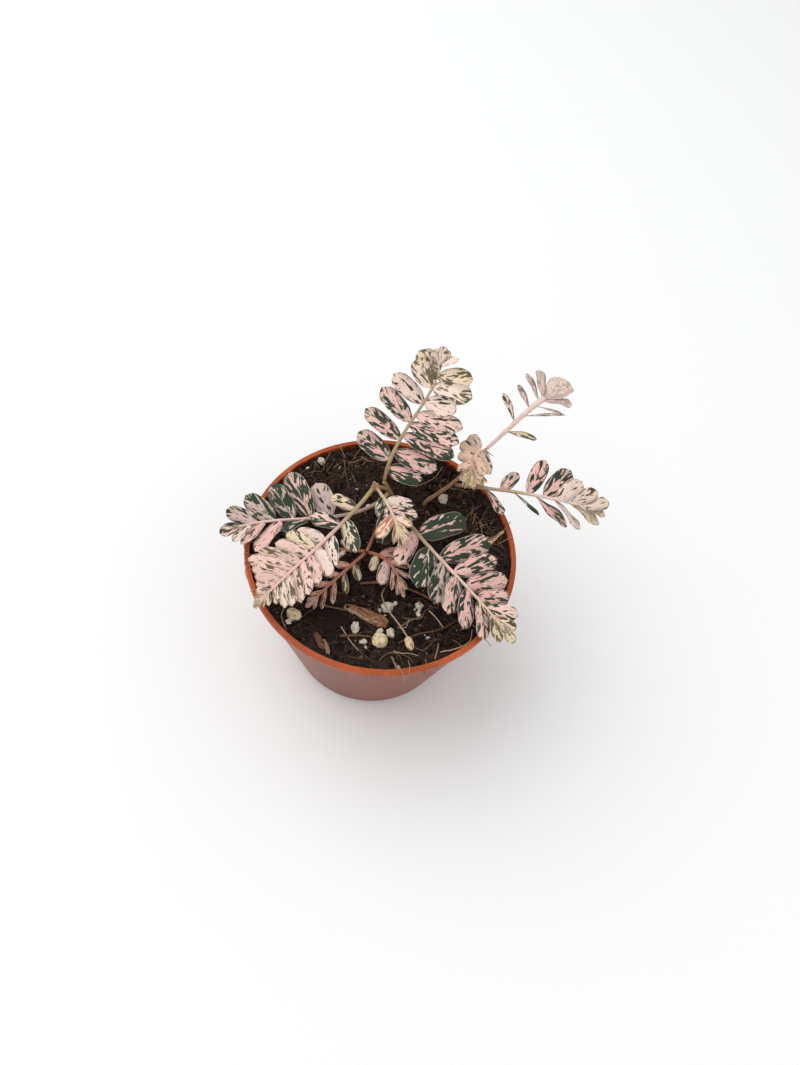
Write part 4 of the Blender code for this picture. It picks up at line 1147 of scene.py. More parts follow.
# The chip of bark. Its sections are (place from -1 to 1, share of the width, share of the thickness)
BARK_ENDS = ((-10.6, -25.2), (6.0, -30.6))
BARK_WIDTH, BARK_THICKNESS = 4.4, 2.6
BARK_LIFT, BARK_TILT = 0.22, 0.25
BARK_RINGS, BARK_SIDES = 90, 40
BARK_WORN, BARK_SILVER_AND_HIGHLIGHT, BARK_CRACK = (0.40, 0.26, 0.15), (0.50, 0.39, 0.30), (0.030, 0.015, 0.010)
BARK_SECTIONS = ((-1.0, 0.45, 0.5), (-0.62, 0.82, 0.8), (0.1, 1.0, 1.0), (0.72, 1.06, 0.95), (1.0, 0.74, 0.7))


def bark_material(look):
    """Fibrous bark with dark cracks, worn, and silvery along one edge, partly weathering and partly a painted
    highlight.
    """
    net = Net("split_bark")
    along, across, seed = net.parts(net.attribute("grain"))
    grain = net.noise(net.vector(along * 0.35, across * 2.6, seed), 1.0, 5, 0.65)
    cracks = net.noise(net.vector(along * 0.9, across * 5.0, seed + 7.0), 1.0, 3, 0.6)
    patch = net.noise(net.vector(along * 0.5, across * 0.5, seed), 1.0, 3)
    shade = net.mix(net.step(grain, 0.34, 0.66), scaled(look.bark, 0.4), scaled(look.bark, 1.7))
    worn = net.step(patch, 0.46, 0.62) * net.step(grain, 0.42, 0.58)
    shade = net.mix(worn * 0.7, shade, BARK_WORN)
    # Silvery along one edge: partly weathered bark, partly a painted highlight on the edge that faces the
    # light
    silver_and_highlight = net.step(seed + patch * 0.4, 0.84, 1.02) * net.step(grain, 0.36, 0.50)
    shade = net.mix(silver_and_highlight * 0.80, shade, BARK_SILVER_AND_HIGHLIGHT)
    shade = net.mix(net.step(cracks, 0.56, 0.64) * 0.85, shade, BARK_CRACK)
    relief = grain * 0.6 - net.step(cracks, 0.54, 0.66) * 0.4
    return net.finish(Base_Color=shade, Roughness=0.85, Specular_IOR_Level=0.2, Normal=net.bump(relief, 0.5))


def bark_shape():
    """The chip as sections along it, with ridges of split fibre."""
    ends = np.array(BARK_ENDS)
    half = np.linalg.norm(ends[1] - ends[0]) / 2
    x, y = ends.mean(axis=0)
    turn = turn_about("Z", math.atan2(*(ends[1] - ends[0])[::-1]))
    sections = np.array(BARK_SECTIONS)
    points, grain = [], []
    for s in np.linspace(-1, 1, BARK_RINGS):
        wide = np.interp(s, sections[:, 0], sections[:, 1]) * BARK_WIDTH / 2
        thick = np.interp(s, sections[:, 0], sections[:, 2]) * BARK_THICKNESS / 2
        for k in range(BARK_SIDES):
            angle = 2 * math.pi * k / BARK_SIDES
            square = [math.copysign(abs(v) ** 0.62, v) for v in (math.cos(angle), math.sin(angle))]
            ridge = noise.noise(Vector((s * 1.4, 2.3 * square[0], 2.3 * square[1] + 4)))
            split = noise.noise(Vector((s * 3.5, 6.5 * square[0], 6.5 * square[1])))
            ragged = noise.noise(Vector((0.0, 5.0 * square[0], 3.0 * square[1]))) * (abs(s) > 0.985)
            reach = 1 + 0.16 * ridge + 0.12 * split
            long = half * s * (1 + 0.08 * ragged)
            points.append((long, wide * square[0] * reach, thick * square[1] * reach))
            grain.append((half * s, square[0] * 2.2 + square[1], 0.4 - 0.5 * square[0] - 0.35 * s))
    points = np.array(points)
    points[:, 2] += BARK_TILT * points[:, 0] / half
    faces = []
    for first in range(0, len(points) - BARK_SIDES, BARK_SIDES):
        for k in range(BARK_SIDES):
            a, b = first + k, first + (k + 1) % BARK_SIDES
            faces.append((a, b, b + BARK_SIDES, a + BARK_SIDES))
    faces.append(tuple(range(BARK_SIDES))[::-1])
    faces.append(tuple(range(len(points) - BARK_SIDES, len(points))))
    middle = np.array((x, y, soil_height(x, y) + BARK_THICKNESS * BARK_LIFT))
    shape = Shape()
    shape.add(points @ turn.T + middle, faces, grain=grain)
    return shape


class CHAMBER_OT_bark(bpy.types.Operator):
    """Makes the split chip of bark"""

    bl_idname = "chamber_bitter.bark"
    bl_label = "Bark chip"

    def execute(self, context):
        made = bark_shape().make("bark_chip_split", bark_material(context.scene.chamber_bitter.soil), 35.0)
        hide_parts("bark_chip")
        return {"FINISHED"}


# The root strand as (x, y), and the fallen stalk as (x, y, height above the soil)
ROOT_ROUTE = ((-6.2, -14.9), (3.4, -13.4), (11.4, -14.1), (18.4, -16.6), (24.4, -19.6))
ROOT_RADIUS = 0.45
STALK_ROUTE = (
    (3.3, -15.4, 0.0), (2.6, -19.5, 1.4), (5.4, -25.9, 3.4), (10.6, -31.4, 2.4), (14.8, -36.0, 0.7),
)
STALK_RADIUS = 0.27
HUSK_CENTRE, HUSK_SIZE, HUSK_BEARING = (15.0, -37.4), (5.6, 3.2, 2.4), -66.0


def stalk_shape(tints):
    """The fallen stalk with its husk, which is open and wrinkled."""
    shape = Shape()
    points = [(x, y, soil_height(x, y) + lift + 1.1) for x, y, lift in STALK_ROUTE]
    route = smooth_line(points, 14)
    shade = np.linspace(0, 1, len(route))[:, None]
    radii = STALK_RADIUS * (1 + 0.12 * np.sin(np.arange(len(route)) * 1.7))
    add_tube(shape, route, radii, 10, tints["tan"] * (1 - shade) + tints["straw"] * 1.1 * shade)
    x, y = HUSK_CENTRE
    turn = turn_about("Z", math.radians(HUSK_BEARING))
    husk, faces = ball(4)
    rough = [1 + 0.10 * noise.noise(Vector((0.7 * p[0], 3.2 * p[1], 3.2 * p[2]))) for p in husk]
    streak = np.array([noise.noise(Vector((0.9 * p[0], 3.0 * p[1], 3.0 * p[2] + 2.0))) for p in husk])
    brown = np.clip((streak - 0.08) * 5.0, 0.0, 0.75)[:, None]
    husk = husk * np.array(rough)[:, None] * np.array(HUSK_SIZE) / 2
    middle = np.array((x, y, soil_height(x, y) + HUSK_SIZE[2] / 2 + 0.5))
    husk_tint = tints["gold"] * (1 - brown) + tints["brown"] * brown
    shape.add(husk @ turn.T + middle, faces, tint=husk_tint, along=husk * (0.5, 1.6, 1.6))
    return shape


def root_shape(tints, ground):
    """The brown root that lies across the soil, uneven in thickness."""
    flat = smooth_line([(x, y, 0.0) for x, y in ROOT_ROUTE], 14)
    laid = [(x, y, max(ground(x, y), soil_height(x, y) + 0.5) + ROOT_RADIUS) for x, y, _ in flat]
    radii = ROOT_RADIUS * np.linspace(1.0, 0.7, len(laid))
    radii = radii * (1 + 0.15 * np.sin(np.arange(len(laid)) * 0.9))
    route = smooth_line(laid[::7], 8)
    radii = np.interp(np.linspace(0, 1, len(route)), np.linspace(0, 1, len(radii)), radii)
    shape = Shape()
    add_tube(shape, route, radii, 12, tints["brown"] * 1.5)
    return shape


class CHAMBER_OT_strands(bpy.types.Operator):
    """Makes the root strand and the fallen stalk with its husk"""

    bl_idname = "chamber_bitter.strands"
    bl_label = "Root and stalk"

    def execute(self, context):
        tints = litter_tints(context.scene.chamber_bitter.soil)
        strand = root_shape(tints, ground_reader()).make("root_strand_bark", litter_material("old_root", 0.7))
        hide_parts("root_strand")
        stalk = stalk_shape(tints).make("dry_stalk_husk", litter_material("dry_stalk_skin", 0.7))
        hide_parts("dry_stalk")
        return {"FINISHED"}


# Stems

STEM_DEPTH, STEM_SIDES, KNOB_SEED = 8.0, 16, 3
MAIN_STEM = ((1.5, 25.4, 70.0), (-0.6, 25.1, 76.2), (-2.7, 24.7, 82.0))
MAIN_FORK = ((-0.9, 25.0, 77.0), (-3.9, 22.4, 81.2), (-6.1, 20.1, 84.0))
MAIN_KNOB, MAIN_STUB = (-6.1, 20.1, 84.0), (-6.6, 20.6, 86.6)
RIGHT_STEM = (
    (14.7, 25.9, 70.0), (19.6, 28.8, 74.2), (24.2, 31.2, 78.6),
    (27.9, 33.6, 83.4), (31.4, 37.4, 87.6), (35.2, 41.6, 90.2),
)
LOW_STEM = ((-2.5, 12.3, 69.6), (-4.2, 4.2, 71.8), (-5.5, -2.6, 73.0))
BRACT_FOOT, BRACT_TIPS = (34.7, 41.0, 89.8), ((38.6, 38.9, 89.3), (37.3, 37.7, 89.1))
MAIN_RADIUS, RIGHT_RADIUS, LOW_RADIUS, KNOB_RADIUS = 0.85, 0.82, 0.65, 1.5
FOOT_SWELL, KNOB_SCALES, SCALE_THICKNESS = 1.1, 12, 0.3
SKIN_PALE, SKIN_DARK = (0.78, 0.58, 0.44), (0.22, 0.085, 0.05)
PAPERY = np.array((0.50, 0.27, 0.15))


def shoot_material(name):
    """Skin of stems and rachises, in the colour given at each point, with lengthwise streaks."""
    net = Net(name)
    along, around, seed = net.parts(net.attribute("along"))
    streak = net.noise(net.vector(along * 0.25, around * 1.1, seed), 1.5, 4, 0.6)
    blotch = net.noise(net.vector(along * 0.7, around * 0.6, seed + 4.0), 1.0, 3)
    shade = net.mix(0.28, net.tint(), BLACK)
    shade = net.mix(net.step(streak, 0.32, 0.62), shade, net.tint())
    shade = net.mix(net.step(blotch, 0.55, 0.75) * 0.30, shade, SKIN_PALE)
    shade = net.mix(net.step(streak, 0.62, 0.72) * 0.35, shade, SKIN_DARK)
    return net.finish(Base_Color=shade, Roughness=0.5, Normal=net.bump(streak, 0.06))


def add_stem(shape, points, radius, taper, tints):
    """A stem with slight swellings, from its foot in the soil to its top."""
    x, y, z = points[0]
    route = smooth_line([(x, y, z - STEM_DEPTH), *points], 10)
    share = np.linspace(0, 1, len(route))
    swell = 1 + 0.10 * np.sin(share * 21.0) ** 8
    radii = radius * (FOOT_SWELL + (taper - FOOT_SWELL) * share) * swell
    colours = [stops_at(tints, s, lambda stop: stop[1]) for s in share]
    add_tube(shape, route, radii, STEM_SIDES, colours, x)


def add_scale(shape, foot, tip, width, tint, seed, blunt=0.12):
    """A dry scale, pointed unless it is given as blunt."""
    route = smooth_line([foot, (np.array(foot) + tip) / 2 + (0, 0, 0.25), tip], 5)
    radii = width / 2 * np.linspace(1.0, blunt, len(route))
    add_tube(shape, route, radii, 8, tint, seed, SCALE_THICKNESS)


def main_stem_shape(brown, tan):
    """The main stem with its fork, and a papery knob with dry scales at the fork's end."""
    shape = Shape()
    add_stem(shape, MAIN_STEM, MAIN_RADIUS, 1.0, ((0.0, brown * 0.7), (0.5, brown), (1.0, tan * 0.9)))
    fork = smooth_line(MAIN_FORK, 10)
    add_tube(shape, fork, MAIN_RADIUS * np.linspace(0.95, 0.9, len(fork)), STEM_SIDES, brown * 1.2, 2.0)
    draw = random.Random(KNOB_SEED)
    knob, faces = ball(3)
    rough = np.array([1 + 0.16 * noise.noise(Vector(p) * 2.2) for p in knob])[:, None]
    middle = np.array(MAIN_KNOB) - (0.0, 0.0, 0.5)
    shape.add(knob * rough * KNOB_RADIUS + middle, faces, tint=PAPERY * 0.8, along=knob * 2)
    add_scale(shape, middle, MAIN_STUB, 2.2, PAPERY * 1.2, 1.0, 0.7)
    for k in range(KNOB_SCALES):
        angle = draw.uniform(0, 2 * math.pi)
        lean = draw.uniform(0.4, 1.0)
        reach = draw.uniform(1.4, 1.9)
        tip = middle + reach * np.array((*polar(lean, angle), 1.2 - 0.6 * lean))
        add_scale(shape, middle, tip, draw.uniform(1.2, 1.9), vary(draw, PAPERY, 0.3), k, 0.5)
    return shape


class CHAMBER_OT_stems(bpy.types.Operator):
    """Makes the three stems with their knob, scales and bracts"""

    bl_idname = "chamber_bitter.stems"
    bl_label = "Stems"

    def execute(self, context):
        look = context.scene.chamber_bitter.leaves
        brown, tan, red = (np.array(c) for c in (look.brown, look.tan, look.red))
        skin = shoot_material("stem_skin")
        main = main_stem_shape(brown, tan)
        right = Shape()
        add_stem(right, RIGHT_STEM, RIGHT_RADIUS, 0.75, ((0.0, brown * 0.8), (0.5, brown * 1.1), (1.0, tan)))
        for k, tip in enumerate(BRACT_TIPS):
            add_scale(right, BRACT_FOOT, tip, 1.0, PAPERY * 0.75, 20.0 + k)
        low = Shape()
        add_stem(low, LOW_STEM, LOW_RADIUS, 1.0, ((0.0, brown * 0.8), (0.55, red * 0.7), (1.0, red)))
        stems = ((main, "stem_main", "stem"), (right, "stem_right", "stem"), (low, "stem_low", "stem_red"))
        for shape, node, slot in stems:
            made = shape.make(node + "_skin", skin)
            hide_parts(node)
        return {"FINISHED"}


# Branchlets

@dataclass
class Row:
    """One row of leaflets along a rachis: each is (place, length, width, angle), with the place as a share
    of the rachis and the angle counted from it. Looks are stops of (place, colour, streak colour, share of
    streaks, share of half tone). The roll is given at the rachis's base and tip, and widest is the share of
    a leaflet's length where it is widest."""

    leaflets: tuple
    looks: tuple
    lift: float = 8.0
    roll: tuple = (20.0, 20.0)
    fold: float = 0.12
    widest: float = 0.57


@dataclass
class Branchlet:
    """A rachis that starts at a point, with bearings and climbs at its base, middle and tip. A tuft is the
    number, length and width of the narrow young leaves at its tip, their spread in degrees and colour."""

    name: str
    start: tuple
    bearings: tuple
    climbs: tuple
    length: float
    radii: tuple
    left: Row
    right: Row
    end_leaf: tuple
    slot: str
    rachis: tuple
    tuft: tuple
    seed: int


BACK_LOOKS = (
    (0.0, "pink", "green", 0.48, 0.30), (0.38, "pink", "green", 0.40, 0.25),
    (0.60, "blush", "green", 0.30, 0.25), (0.68, "pale", "green", 0.18, 0.10),
    (0.78, "pale", "olive", 0.36, 0.14), (0.90, "cream", "olive", 0.34, 0.12),
    (1.0, "cream", "olive", 0.36, 0.15),
)
RIGHT_LOOKS = (
    (0.33, "pink", "green", 0.26, 0.40), (0.52, "pink", "green", 0.42, 0.30),
    (0.63, "pink", "green", 0.48, 0.20), (0.70, "pale", "umber", 0.18, 0.0),
    (0.90, "pale", "umber", 0.20, 0.0), (1.0, "cream", "olive", 0.30, 0.10),
)
RIGHT_LOW_LOOKS = (
    (0.22, "pink", "green", 0.44, 0.10), (0.41, "mauve", "green", 0.66, 0.10),
    (0.56, "pink", "green", 0.34, 0.05), (0.69, "pale", "umber", 0.06, 0.10),
    (0.80, "cream", "umber", 0.20, 0.10),
)
FAR_LOOKS = (
    (0.32, "cream", "green", 0.42, 0.2), (0.6, "pale", "umber", 0.34, 0.4),
    (1.0, "pale", "mauve", 0.40, 0.4),
)
ROSETTE_LOOKS = (
    (0.0, "pale", "umber", 0.05, 0.0), (0.4, "peach", "umber", 0.05, 0.0),
    (0.7, "peach", "olive", 0.05, 0.0), (1.0, "butter", "olive", 0.06, 0.0),
)
FRONT_OUTER_LOOKS = (
    (0.30, "cream", "green", 0.50, 0.10), (0.44, "pale", "green", 0.24, 0.0),
    (0.56, "pale", "green", 0.06, 0.0), (0.62, "blush", "umber", 0.22, 0.06),
    (0.72, "blush", "olive", 0.20, 0.0), (0.80, "pale", "olive", 0.22, 0.0),
    (0.90, "cream", "olive", 0.24, 0.10), (1.0, "cream", "olive", 0.32, 0.0),
)
FRONT_INNER_LOOKS = (
    (0.20, "cream", "green", 0.44, 0.10), (0.355, "blush", "green", 0.62, 0.20),
    (0.49, "pale", "green", 0.06, 0.0), (0.565, "cream", "green", 0.30, 0.10),
    (0.62, "blush", "olive", 0.16, 0.10), (0.90, "blush", "olive", 0.22, 0.10),
    (1.0, "cream", "olive", 0.32, 0.0),
)
LEFT_LOOKS = (
    (0.0, "mauve", "green", 0.30, 0.30), (0.46, "mauve", "green", 0.16, 0.30),
    (0.58, "pink", "green", 0.56, 0.30), (0.7, "mauve", "green", 0.60, 0.45),
    (0.85, "mauve", "green", 0.48, 0.45), (1.0, "mauve", "green", 0.56, 0.30),
)
YOUNG_LOOKS = (
    (0.33, "pale", "green", 0.20, 0.0), (0.54, "blush", "green", 0.30, 0.0),
    (0.72, "peach", "tan", 0.40, 0.0), (1.0, "butter", "olive", 0.24, 0.0),
)
YOUNG_INNER_LOOKS = (
    (0.24, "pale", "green", 0.58, 0.1), (0.50, "blush", "green", 0.44, 0.1),
    (0.70, "peach", "rust", 0.52, 0.0), (1.0, "butter", "olive", 0.26, 0.0),
)
LOW_FRONT_LOOKS = (
    (0.24, "salmon", "umber", 0.14, 0.0), (0.62, "salmon", "umber", 0.20, 0.0),
    (1.0, "rust", "umber", 0.2, 0.0),
)
LOW_CREAM_LOOKS = (
    (0.24, "cream", "olive", 0.46, 0.0), (0.44, "cream", "olive", 0.34, 0.0),
    (0.62, "rust", "umber", 0.2, 0.0), (1.0, "rust", "umber", 0.2, 0.0),
)
LOW_RIGHT_LOOKS = (
    (0.0, "salmon", "umber", 0.20, 0.0), (0.45, "salmon", "umber", 0.22, 0.0),
    (1.0, "rust", "umber", 0.2, 0.0),
)
LOW_PALE_LOOKS = (
    (0.18, "cream", "olive", 0.20, 0.15), (0.42, "blush", "umber", 0.24, 0.0),
    (0.64, "salmon", "olive", 0.3, 0.0), (1.0, "rust", "umber", 0.3, 0.0),
)

BRANCHLETS = (
    Branchlet(
        "back", (-2.8, 24.7, 82.7), (86, 59, 92), (54, 34, 8), 52.5, (0.75, 0.45),
        Row((
            (0.17, 16.5, 8.0, 72), (0.34, 18.5, 7.0, 80), (0.49, 18.5, 7.4, 75), (0.65, 16.5, 7.4, 77),
            (0.78, 14.0, 9.0, 50), (0.91, 12.5, 8.4, 50),
        ), BACK_LOOKS, roll=(20, -8)),
        Row((
            (0.10, 14.5, 7.4, 86), (0.235, 18.5, 7.4, 84), (0.38, 22.5, 7.4, 81), (0.465, 21.0, 7.2, 77),
            (0.55, 19.5, 7.2, 74), (0.67, 13.2, 8.4, 80), (0.79, 16.0, 8.6, 84), (0.88, 13.8, 8.4, 80),
        ), BACK_LOOKS, roll=(20, -8)),
        (8.5, 7.4), "leaf_pink", ((0.0, "brown"), (0.18, "moss"), (0.5, "tan"), (0.8, "tan"), (1.0, "pale")),
        (7, 8.0, 4.0, 60, "pale"), seed=11,
    ),
    Branchlet(
        "right", (25.48, 30.47, 78.6), (-17, -7, -2), (26, 8, -18), 57, (0.8, 0.4),
        Row((
            (0.335, 9.5, 5.4, 54), (0.52, 16.0, 6.6, 73), (0.63, 15.5, 7.8, 54), (0.72, 12.5, 7.0, 44),
            (0.82, 12.0, 6.4, 35), (0.91, 10.5, 5.6, 20),
        ), RIGHT_LOOKS, lift=20, roll=(16, 16)),
        Row((
            (0.225, 13.0, 4.8, 42), (0.415, 14.0, 2.6, 29), (0.56, 17.6, 7.8, 26), (0.69, 16.0, 6.0, 26),
            (0.80, 15.5, 8.0, 9),
        ), RIGHT_LOW_LOOKS, lift=-10, roll=(32, 24), widest=0.72),
        (6.0, 3.4), "leaf_pink", ((0.0, "brown"), (0.2, "tan"), (0.45, "tan"), (0.6, "pale"), (1.0, "pale")),
        (6, 4.2, 0.9, 50, "tan"), seed=12,
    ),
    Branchlet(
        "back_right", (35.45, 41.85, 90.4), (44, 49, 45), (24, 18, 8), 31, (0.7, 1.1),
        Row((
            (0.48, 13.0, 3.4, 61), (0.75, 11.0, 3.2, 70), (0.91, 13.0, 3.4, 66), (0.98, 12.5, 5.4, 54),
        ), FAR_LOOKS, lift=20, roll=(34, 34), fold=0.3, widest=0.72),
        Row((
            (0.32, 12.5, 3.6, 54), (0.61, 16.5, 1.8, 38), (0.83, 13.0, 1.8, 52), (0.95, 12.5, 7.6, 40),
        ), FAR_LOOKS, lift=-4, roll=(26, 26), fold=0.2, widest=0.72),
        (14.5, 10.6), "leaf_cream", ((0.0, "blush"), (1.0, "pale")), (0, 4.0, 1.0, 30, "pale"), seed=13,
    ),
    Branchlet(
        "young_right", (33.1, 40.6, 90.7), (228, 254, 278), (0, -12, -26), 9, (0.7, 0.4),
        Row((
            (0.14, 11.5, 5.0, 58), (0.38, 10.5, 4.4, 42), (0.62, 9.5, 4.0, 30), (0.84, 8.5, 3.2, 18),
        ), ROSETTE_LOOKS, lift=10, roll=(26, 26), fold=0.3),
        Row((
            (0.08, 8.0, 5.4, 104), (0.27, 7.8, 5.0, 84), (0.48, 7.0, 4.4, 62), (0.70, 7.8, 3.6, 42),
            (0.89, 8.0, 3.0, 24),
        ), ROSETTE_LOOKS, lift=10, roll=(26, 26), fold=0.3),
        (8.0, 3.2), "leaf_cream", ((0.0, "peach"), (1.0, "peach")), (18, 8.5, 1.5, 44, "butter"), seed=14,
    ),
    Branchlet(
        "front_left", (-6.88, 18.8, 84.18), (-109, -124, -132), (16, -3, -24), 64.5, (0.85, 0.4),
        Row((
            (0.305, 16.0, 6.0, 47), (0.44, 15.0, 5.6, 42), (0.56, 13.0, 5.6, 64), (0.62, 13.0, 5.2, 60),
            (0.675, 14.0, 5.2, 56), (0.73, 13.5, 5.0, 54), (0.78, 12.5, 4.6, 53), (0.825, 11.0, 4.0, 53),
            (0.875, 7.0, 3.2, 50), (0.93, 5.0, 2.6, 46),
        ), FRONT_OUTER_LOOKS),
        Row((
            (0.20, 10.5, 5.2, 78), (0.355, 11.5, 5.8, 61), (0.49, 11.5, 5.4, 63), (0.565, 12.5, 5.4, 72),
            (0.62, 13.5, 5.4, 65), (0.68, 16.5, 5.6, 59), (0.735, 17.5, 5.8, 55), (0.785, 13.5, 5.0, 53),
            (0.83, 10.0, 4.4, 50), (0.875, 7.5, 3.8, 48), (0.925, 5.0, 3.0, 46),
        ), FRONT_INNER_LOOKS),
        (4.5, 2.4), "leaf_cream",
        ((0.0, "moss"), (0.14, "moss"), (0.28, "tan"), (0.5, "blush"), (1.0, "blush")),
        (10, 5.0, 0.7, 44, "tan"), seed=15,
    ),
    Branchlet(
        "left", (-0.78, 24.02, 75.3), (-112, -159, -155), (12, 9, -6), 64, (0.8, 0.4),
        Row((
            (0.59, 12.0, 4.6, 23), (0.745, 17.0, 6.0, 48), (0.84, 13.5, 4.6, 41), (0.925, 10.0, 4.2, 38),
        ), (
            (0.59, "mauve", "green", 0.56, 0.20), (0.745, "pink", "umber", 0.26, 0.0),
            (0.84, "pink", "umber", 0.28, 0.10), (0.925, "pale", "umber", 0.24, 0.10),
            (1.0, "pink", "green", 0.46, 0.20),
        )),
        Row((
            (0.45, 14.5, 8.6, 76), (0.57, 20.0, 8.6, 69), (0.675, 15.5, 7.8, 61), (0.785, 14.5, 7.4, 44),
            (0.885, 12.5, 6.4, 28),
        ), LEFT_LOOKS, lift=18),
        (8.5, 5.4), "leaf_pink", ((0.0, "tan"), (0.4, "mauve"), (0.6, "blush"), (1.0, "pale")),
        (7, 4.0, 1.0, 50, "olive"), seed=16,
    ),
    Branchlet(
        "front_right", (1.04, 24.02, 72.6), (-72, -45, -42), (31, 2, -13), 74.5, (0.95, 0.4),
        Row((
            (0.35, 20.0, 9.6, 77), (0.525, 21.5, 9.0, 72), (0.63, 17.5, 7.4, 67), (0.715, 16.5, 7.8, 56),
            (0.80, 12.5, 6.0, 50), (0.87, 12.0, 6.0, 35), (0.94, 8.5, 4.6, 24),
        ), (
            (0.35, "pink", "green", 0.78, 0.05), (0.525, "pink", "green", 0.52, 0.15),
            (0.63, "pink", "green", 0.44, 0.20), (0.80, "pink", "green", 0.46, 0.20),
            (0.87, "blush", "green", 0.38, 0.20), (1.0, "cream", "olive", 0.32, 0.20),
        )),
        Row((
            (0.20, 17.0, 7.2, 60), (0.315, 19.5, 7.0, 49), (0.445, 20.0, 9.4, 50), (0.55, 18.0, 7.6, 49),
            (0.645, 17.0, 7.0, 51), (0.735, 17.5, 6.8, 50), (0.82, 15.0, 6.0, 36), (0.91, 11.0, 5.2, 28),
        ), (
            (0.20, "mauve", "green", 0.84, 0.10), (0.315, "pink", "green", 0.30, 0.0),
            (0.445, "mauve", "green", 0.74, 0.20), (0.55, "mauve", "green", 0.62, 0.40),
            (0.645, "pink", "green", 0.34, 0.15), (0.80, "pink", "green", 0.40, 0.15),
            (0.91, "cream", "olive", 0.30, 0.20),
        )),
        (8.0, 4.4), "leaf_green", (
            (0.0, "tan"), (0.25, "moss"), (0.42, "tan"), (0.6, "blush"), (0.85, "cream"), (1.0, "butter"),
        ),
        (4, 4.5, 1.1, 30, "cream"), seed=17,
    ),
    Branchlet(
        "young_middle", (-5.0, 18.95, 84.75), (-58, -61, -68), (16, 8, -8), 22, (0.7, 0.4),
        Row((
            (0.33, 11.0, 5.0, 56), (0.54, 11.0, 5.0, 50), (0.72, 8.0, 3.2, 42), (0.86, 6.5, 2.4, 26),
        ), YOUNG_LOOKS, lift=2, roll=(16, 16), fold=0.3),
        Row((
            (0.24, 9.0, 4.2, 34), (0.50, 11.5, 4.6, 40), (0.70, 11.0, 4.8, 52), (0.86, 8.0, 2.6, 20),
        ), YOUNG_INNER_LOOKS, lift=-8, roll=(22, 22), fold=0.3),
        (6.5, 2.4), "leaf_cream", ((0.0, "moss"), (0.4, "cream"), (0.8, "cream"), (1.0, "butter")),
        (18, 7.0, 0.6, 26, "butter"), seed=18,
    ),
    Branchlet(
        "low_left", (-6.5, -2.77, 73.37), (-163, -178, -186), (14, 4, -6), 18, (0.65, 0.35),
        Row(((0.40, 5.5, 2.6, 50), (0.64, 6.5, 2.8, 46), (0.86, 5.5, 2.4, 32)), YOUNG_LOOKS),
        Row(((0.32, 5.5, 2.6, 52), (0.58, 6.5, 2.8, 46), (0.82, 5.5, 2.4, 32)), YOUNG_LOOKS),
        (5.0, 2.2), "leaf_pink", ((0.0, "red"), (1.0, "red")), (0, 3.0, 0.8, 30, "rust"), seed=19,
    ),
    Branchlet(
        "low_front", (-6.17, -3.8, 73.35), (-122, -125, -128), (12, 2, -12), 28, (0.7, 0.35),
        Row((
            (0.24, 7.5, 3.0, 56), (0.44, 9.0, 2.6, 48), (0.62, 9.5, 2.4, 38), (0.78, 8.0, 2.0, 30),
            (0.92, 5.5, 1.6, 22),
        ), LOW_CREAM_LOOKS, lift=-4),
        Row((
            (0.30, 6.0, 2.8, 54), (0.50, 6.5, 2.4, 46), (0.68, 6.5, 2.2, 38), (0.85, 5.0, 1.8, 28),
        ), LOW_FRONT_LOOKS, lift=-4),
        (5.0, 2.0), "leaf_pink", ((0.0, "red"), (1.0, "rust")), (6, 4.0, 0.6, 50, "rust"), seed=20,
    ),
    Branchlet(
        "low_right", (-4.6, -3.1, 73.33), (-14, -42, -68), (20, 4, -14), 19, (0.7, 0.35),
        Row((
            (0.22, 11.5, 5.2, 40), (0.46, 9.0, 2.6, 34), (0.68, 7.0, 1.8, 28), (0.88, 5.0, 1.6, 20),
        ), LOW_RIGHT_LOOKS, lift=0),
        Row((
            (0.18, 7.0, 3.4, 74), (0.42, 10.5, 4.8, 56), (0.64, 9.0, 2.0, 34), (0.86, 7.0, 1.8, 22),
        ), LOW_PALE_LOOKS, lift=-4),
        (6.0, 1.6), "leaf_pink", ((0.0, "red"), (1.0, "rust")), (5, 4.0, 0.7, 40, "rust"), seed=21,
    ),
)

# A thin dry bristle at the tip of the front right branchlet
BRISTLE = ((37.0, -28.6, 75.6), (41.0, -31.8, 74.6), (44.6, -35.6, 74.0))
BRISTLE_RADIUS = 0.13


def three_way(values, t):
    """The smooth curve through three values at t = 0, 0.5 and 1."""
    first, middle, last = values
    return first * (1 - t) * (1 - 2 * t) + 4 * middle * t * (1 - t) + last * t * (2 * t - 1)


def rachis_frames(plant):
    """Points, directions and upward normals along a branchlet, stepped from its bearings and climbs."""
    steps = STEPS_A_RING * (RACHIS_RINGS - 1)
    point = Vector(plant.start)
    frames = []
    for k in range(steps + 1):
        t = k / steps
        bearing = math.radians(three_way(plant.bearings, t))
        climb = math.radians(three_way(plant.climbs, t))
        level = Vector((math.cos(bearing), math.sin(bearing), 0))
        along = level * math.cos(climb) + Vector((0, 0, math.sin(climb)))
        if k % STEPS_A_RING == 0:
            frames.append((point.copy(), along, along.cross(Vector((-level.y, level.x, 0)))))
        point = point + along * (plant.length / steps)
    return frames


def frame_at(frames, t):
    """The point, direction and upward normal at a share of a branchlet's length."""
    place = t * (len(frames) - 1)
    k = min(int(place), len(frames) - 2)
    point, along, up = (a.lerp(b, place - k) for a, b in zip(frames[k], frames[k + 1]))
    return point, along.normalized(), up.normalized()


def placed(point, out, normal):
    """The matrix that puts a leaflet's length along out and its face along normal."""
    across = normal.cross(out).normalized()
    axes = Matrix((out, across, out.cross(across))).transposed().to_4x4()
    axes.translation = point
    return axes


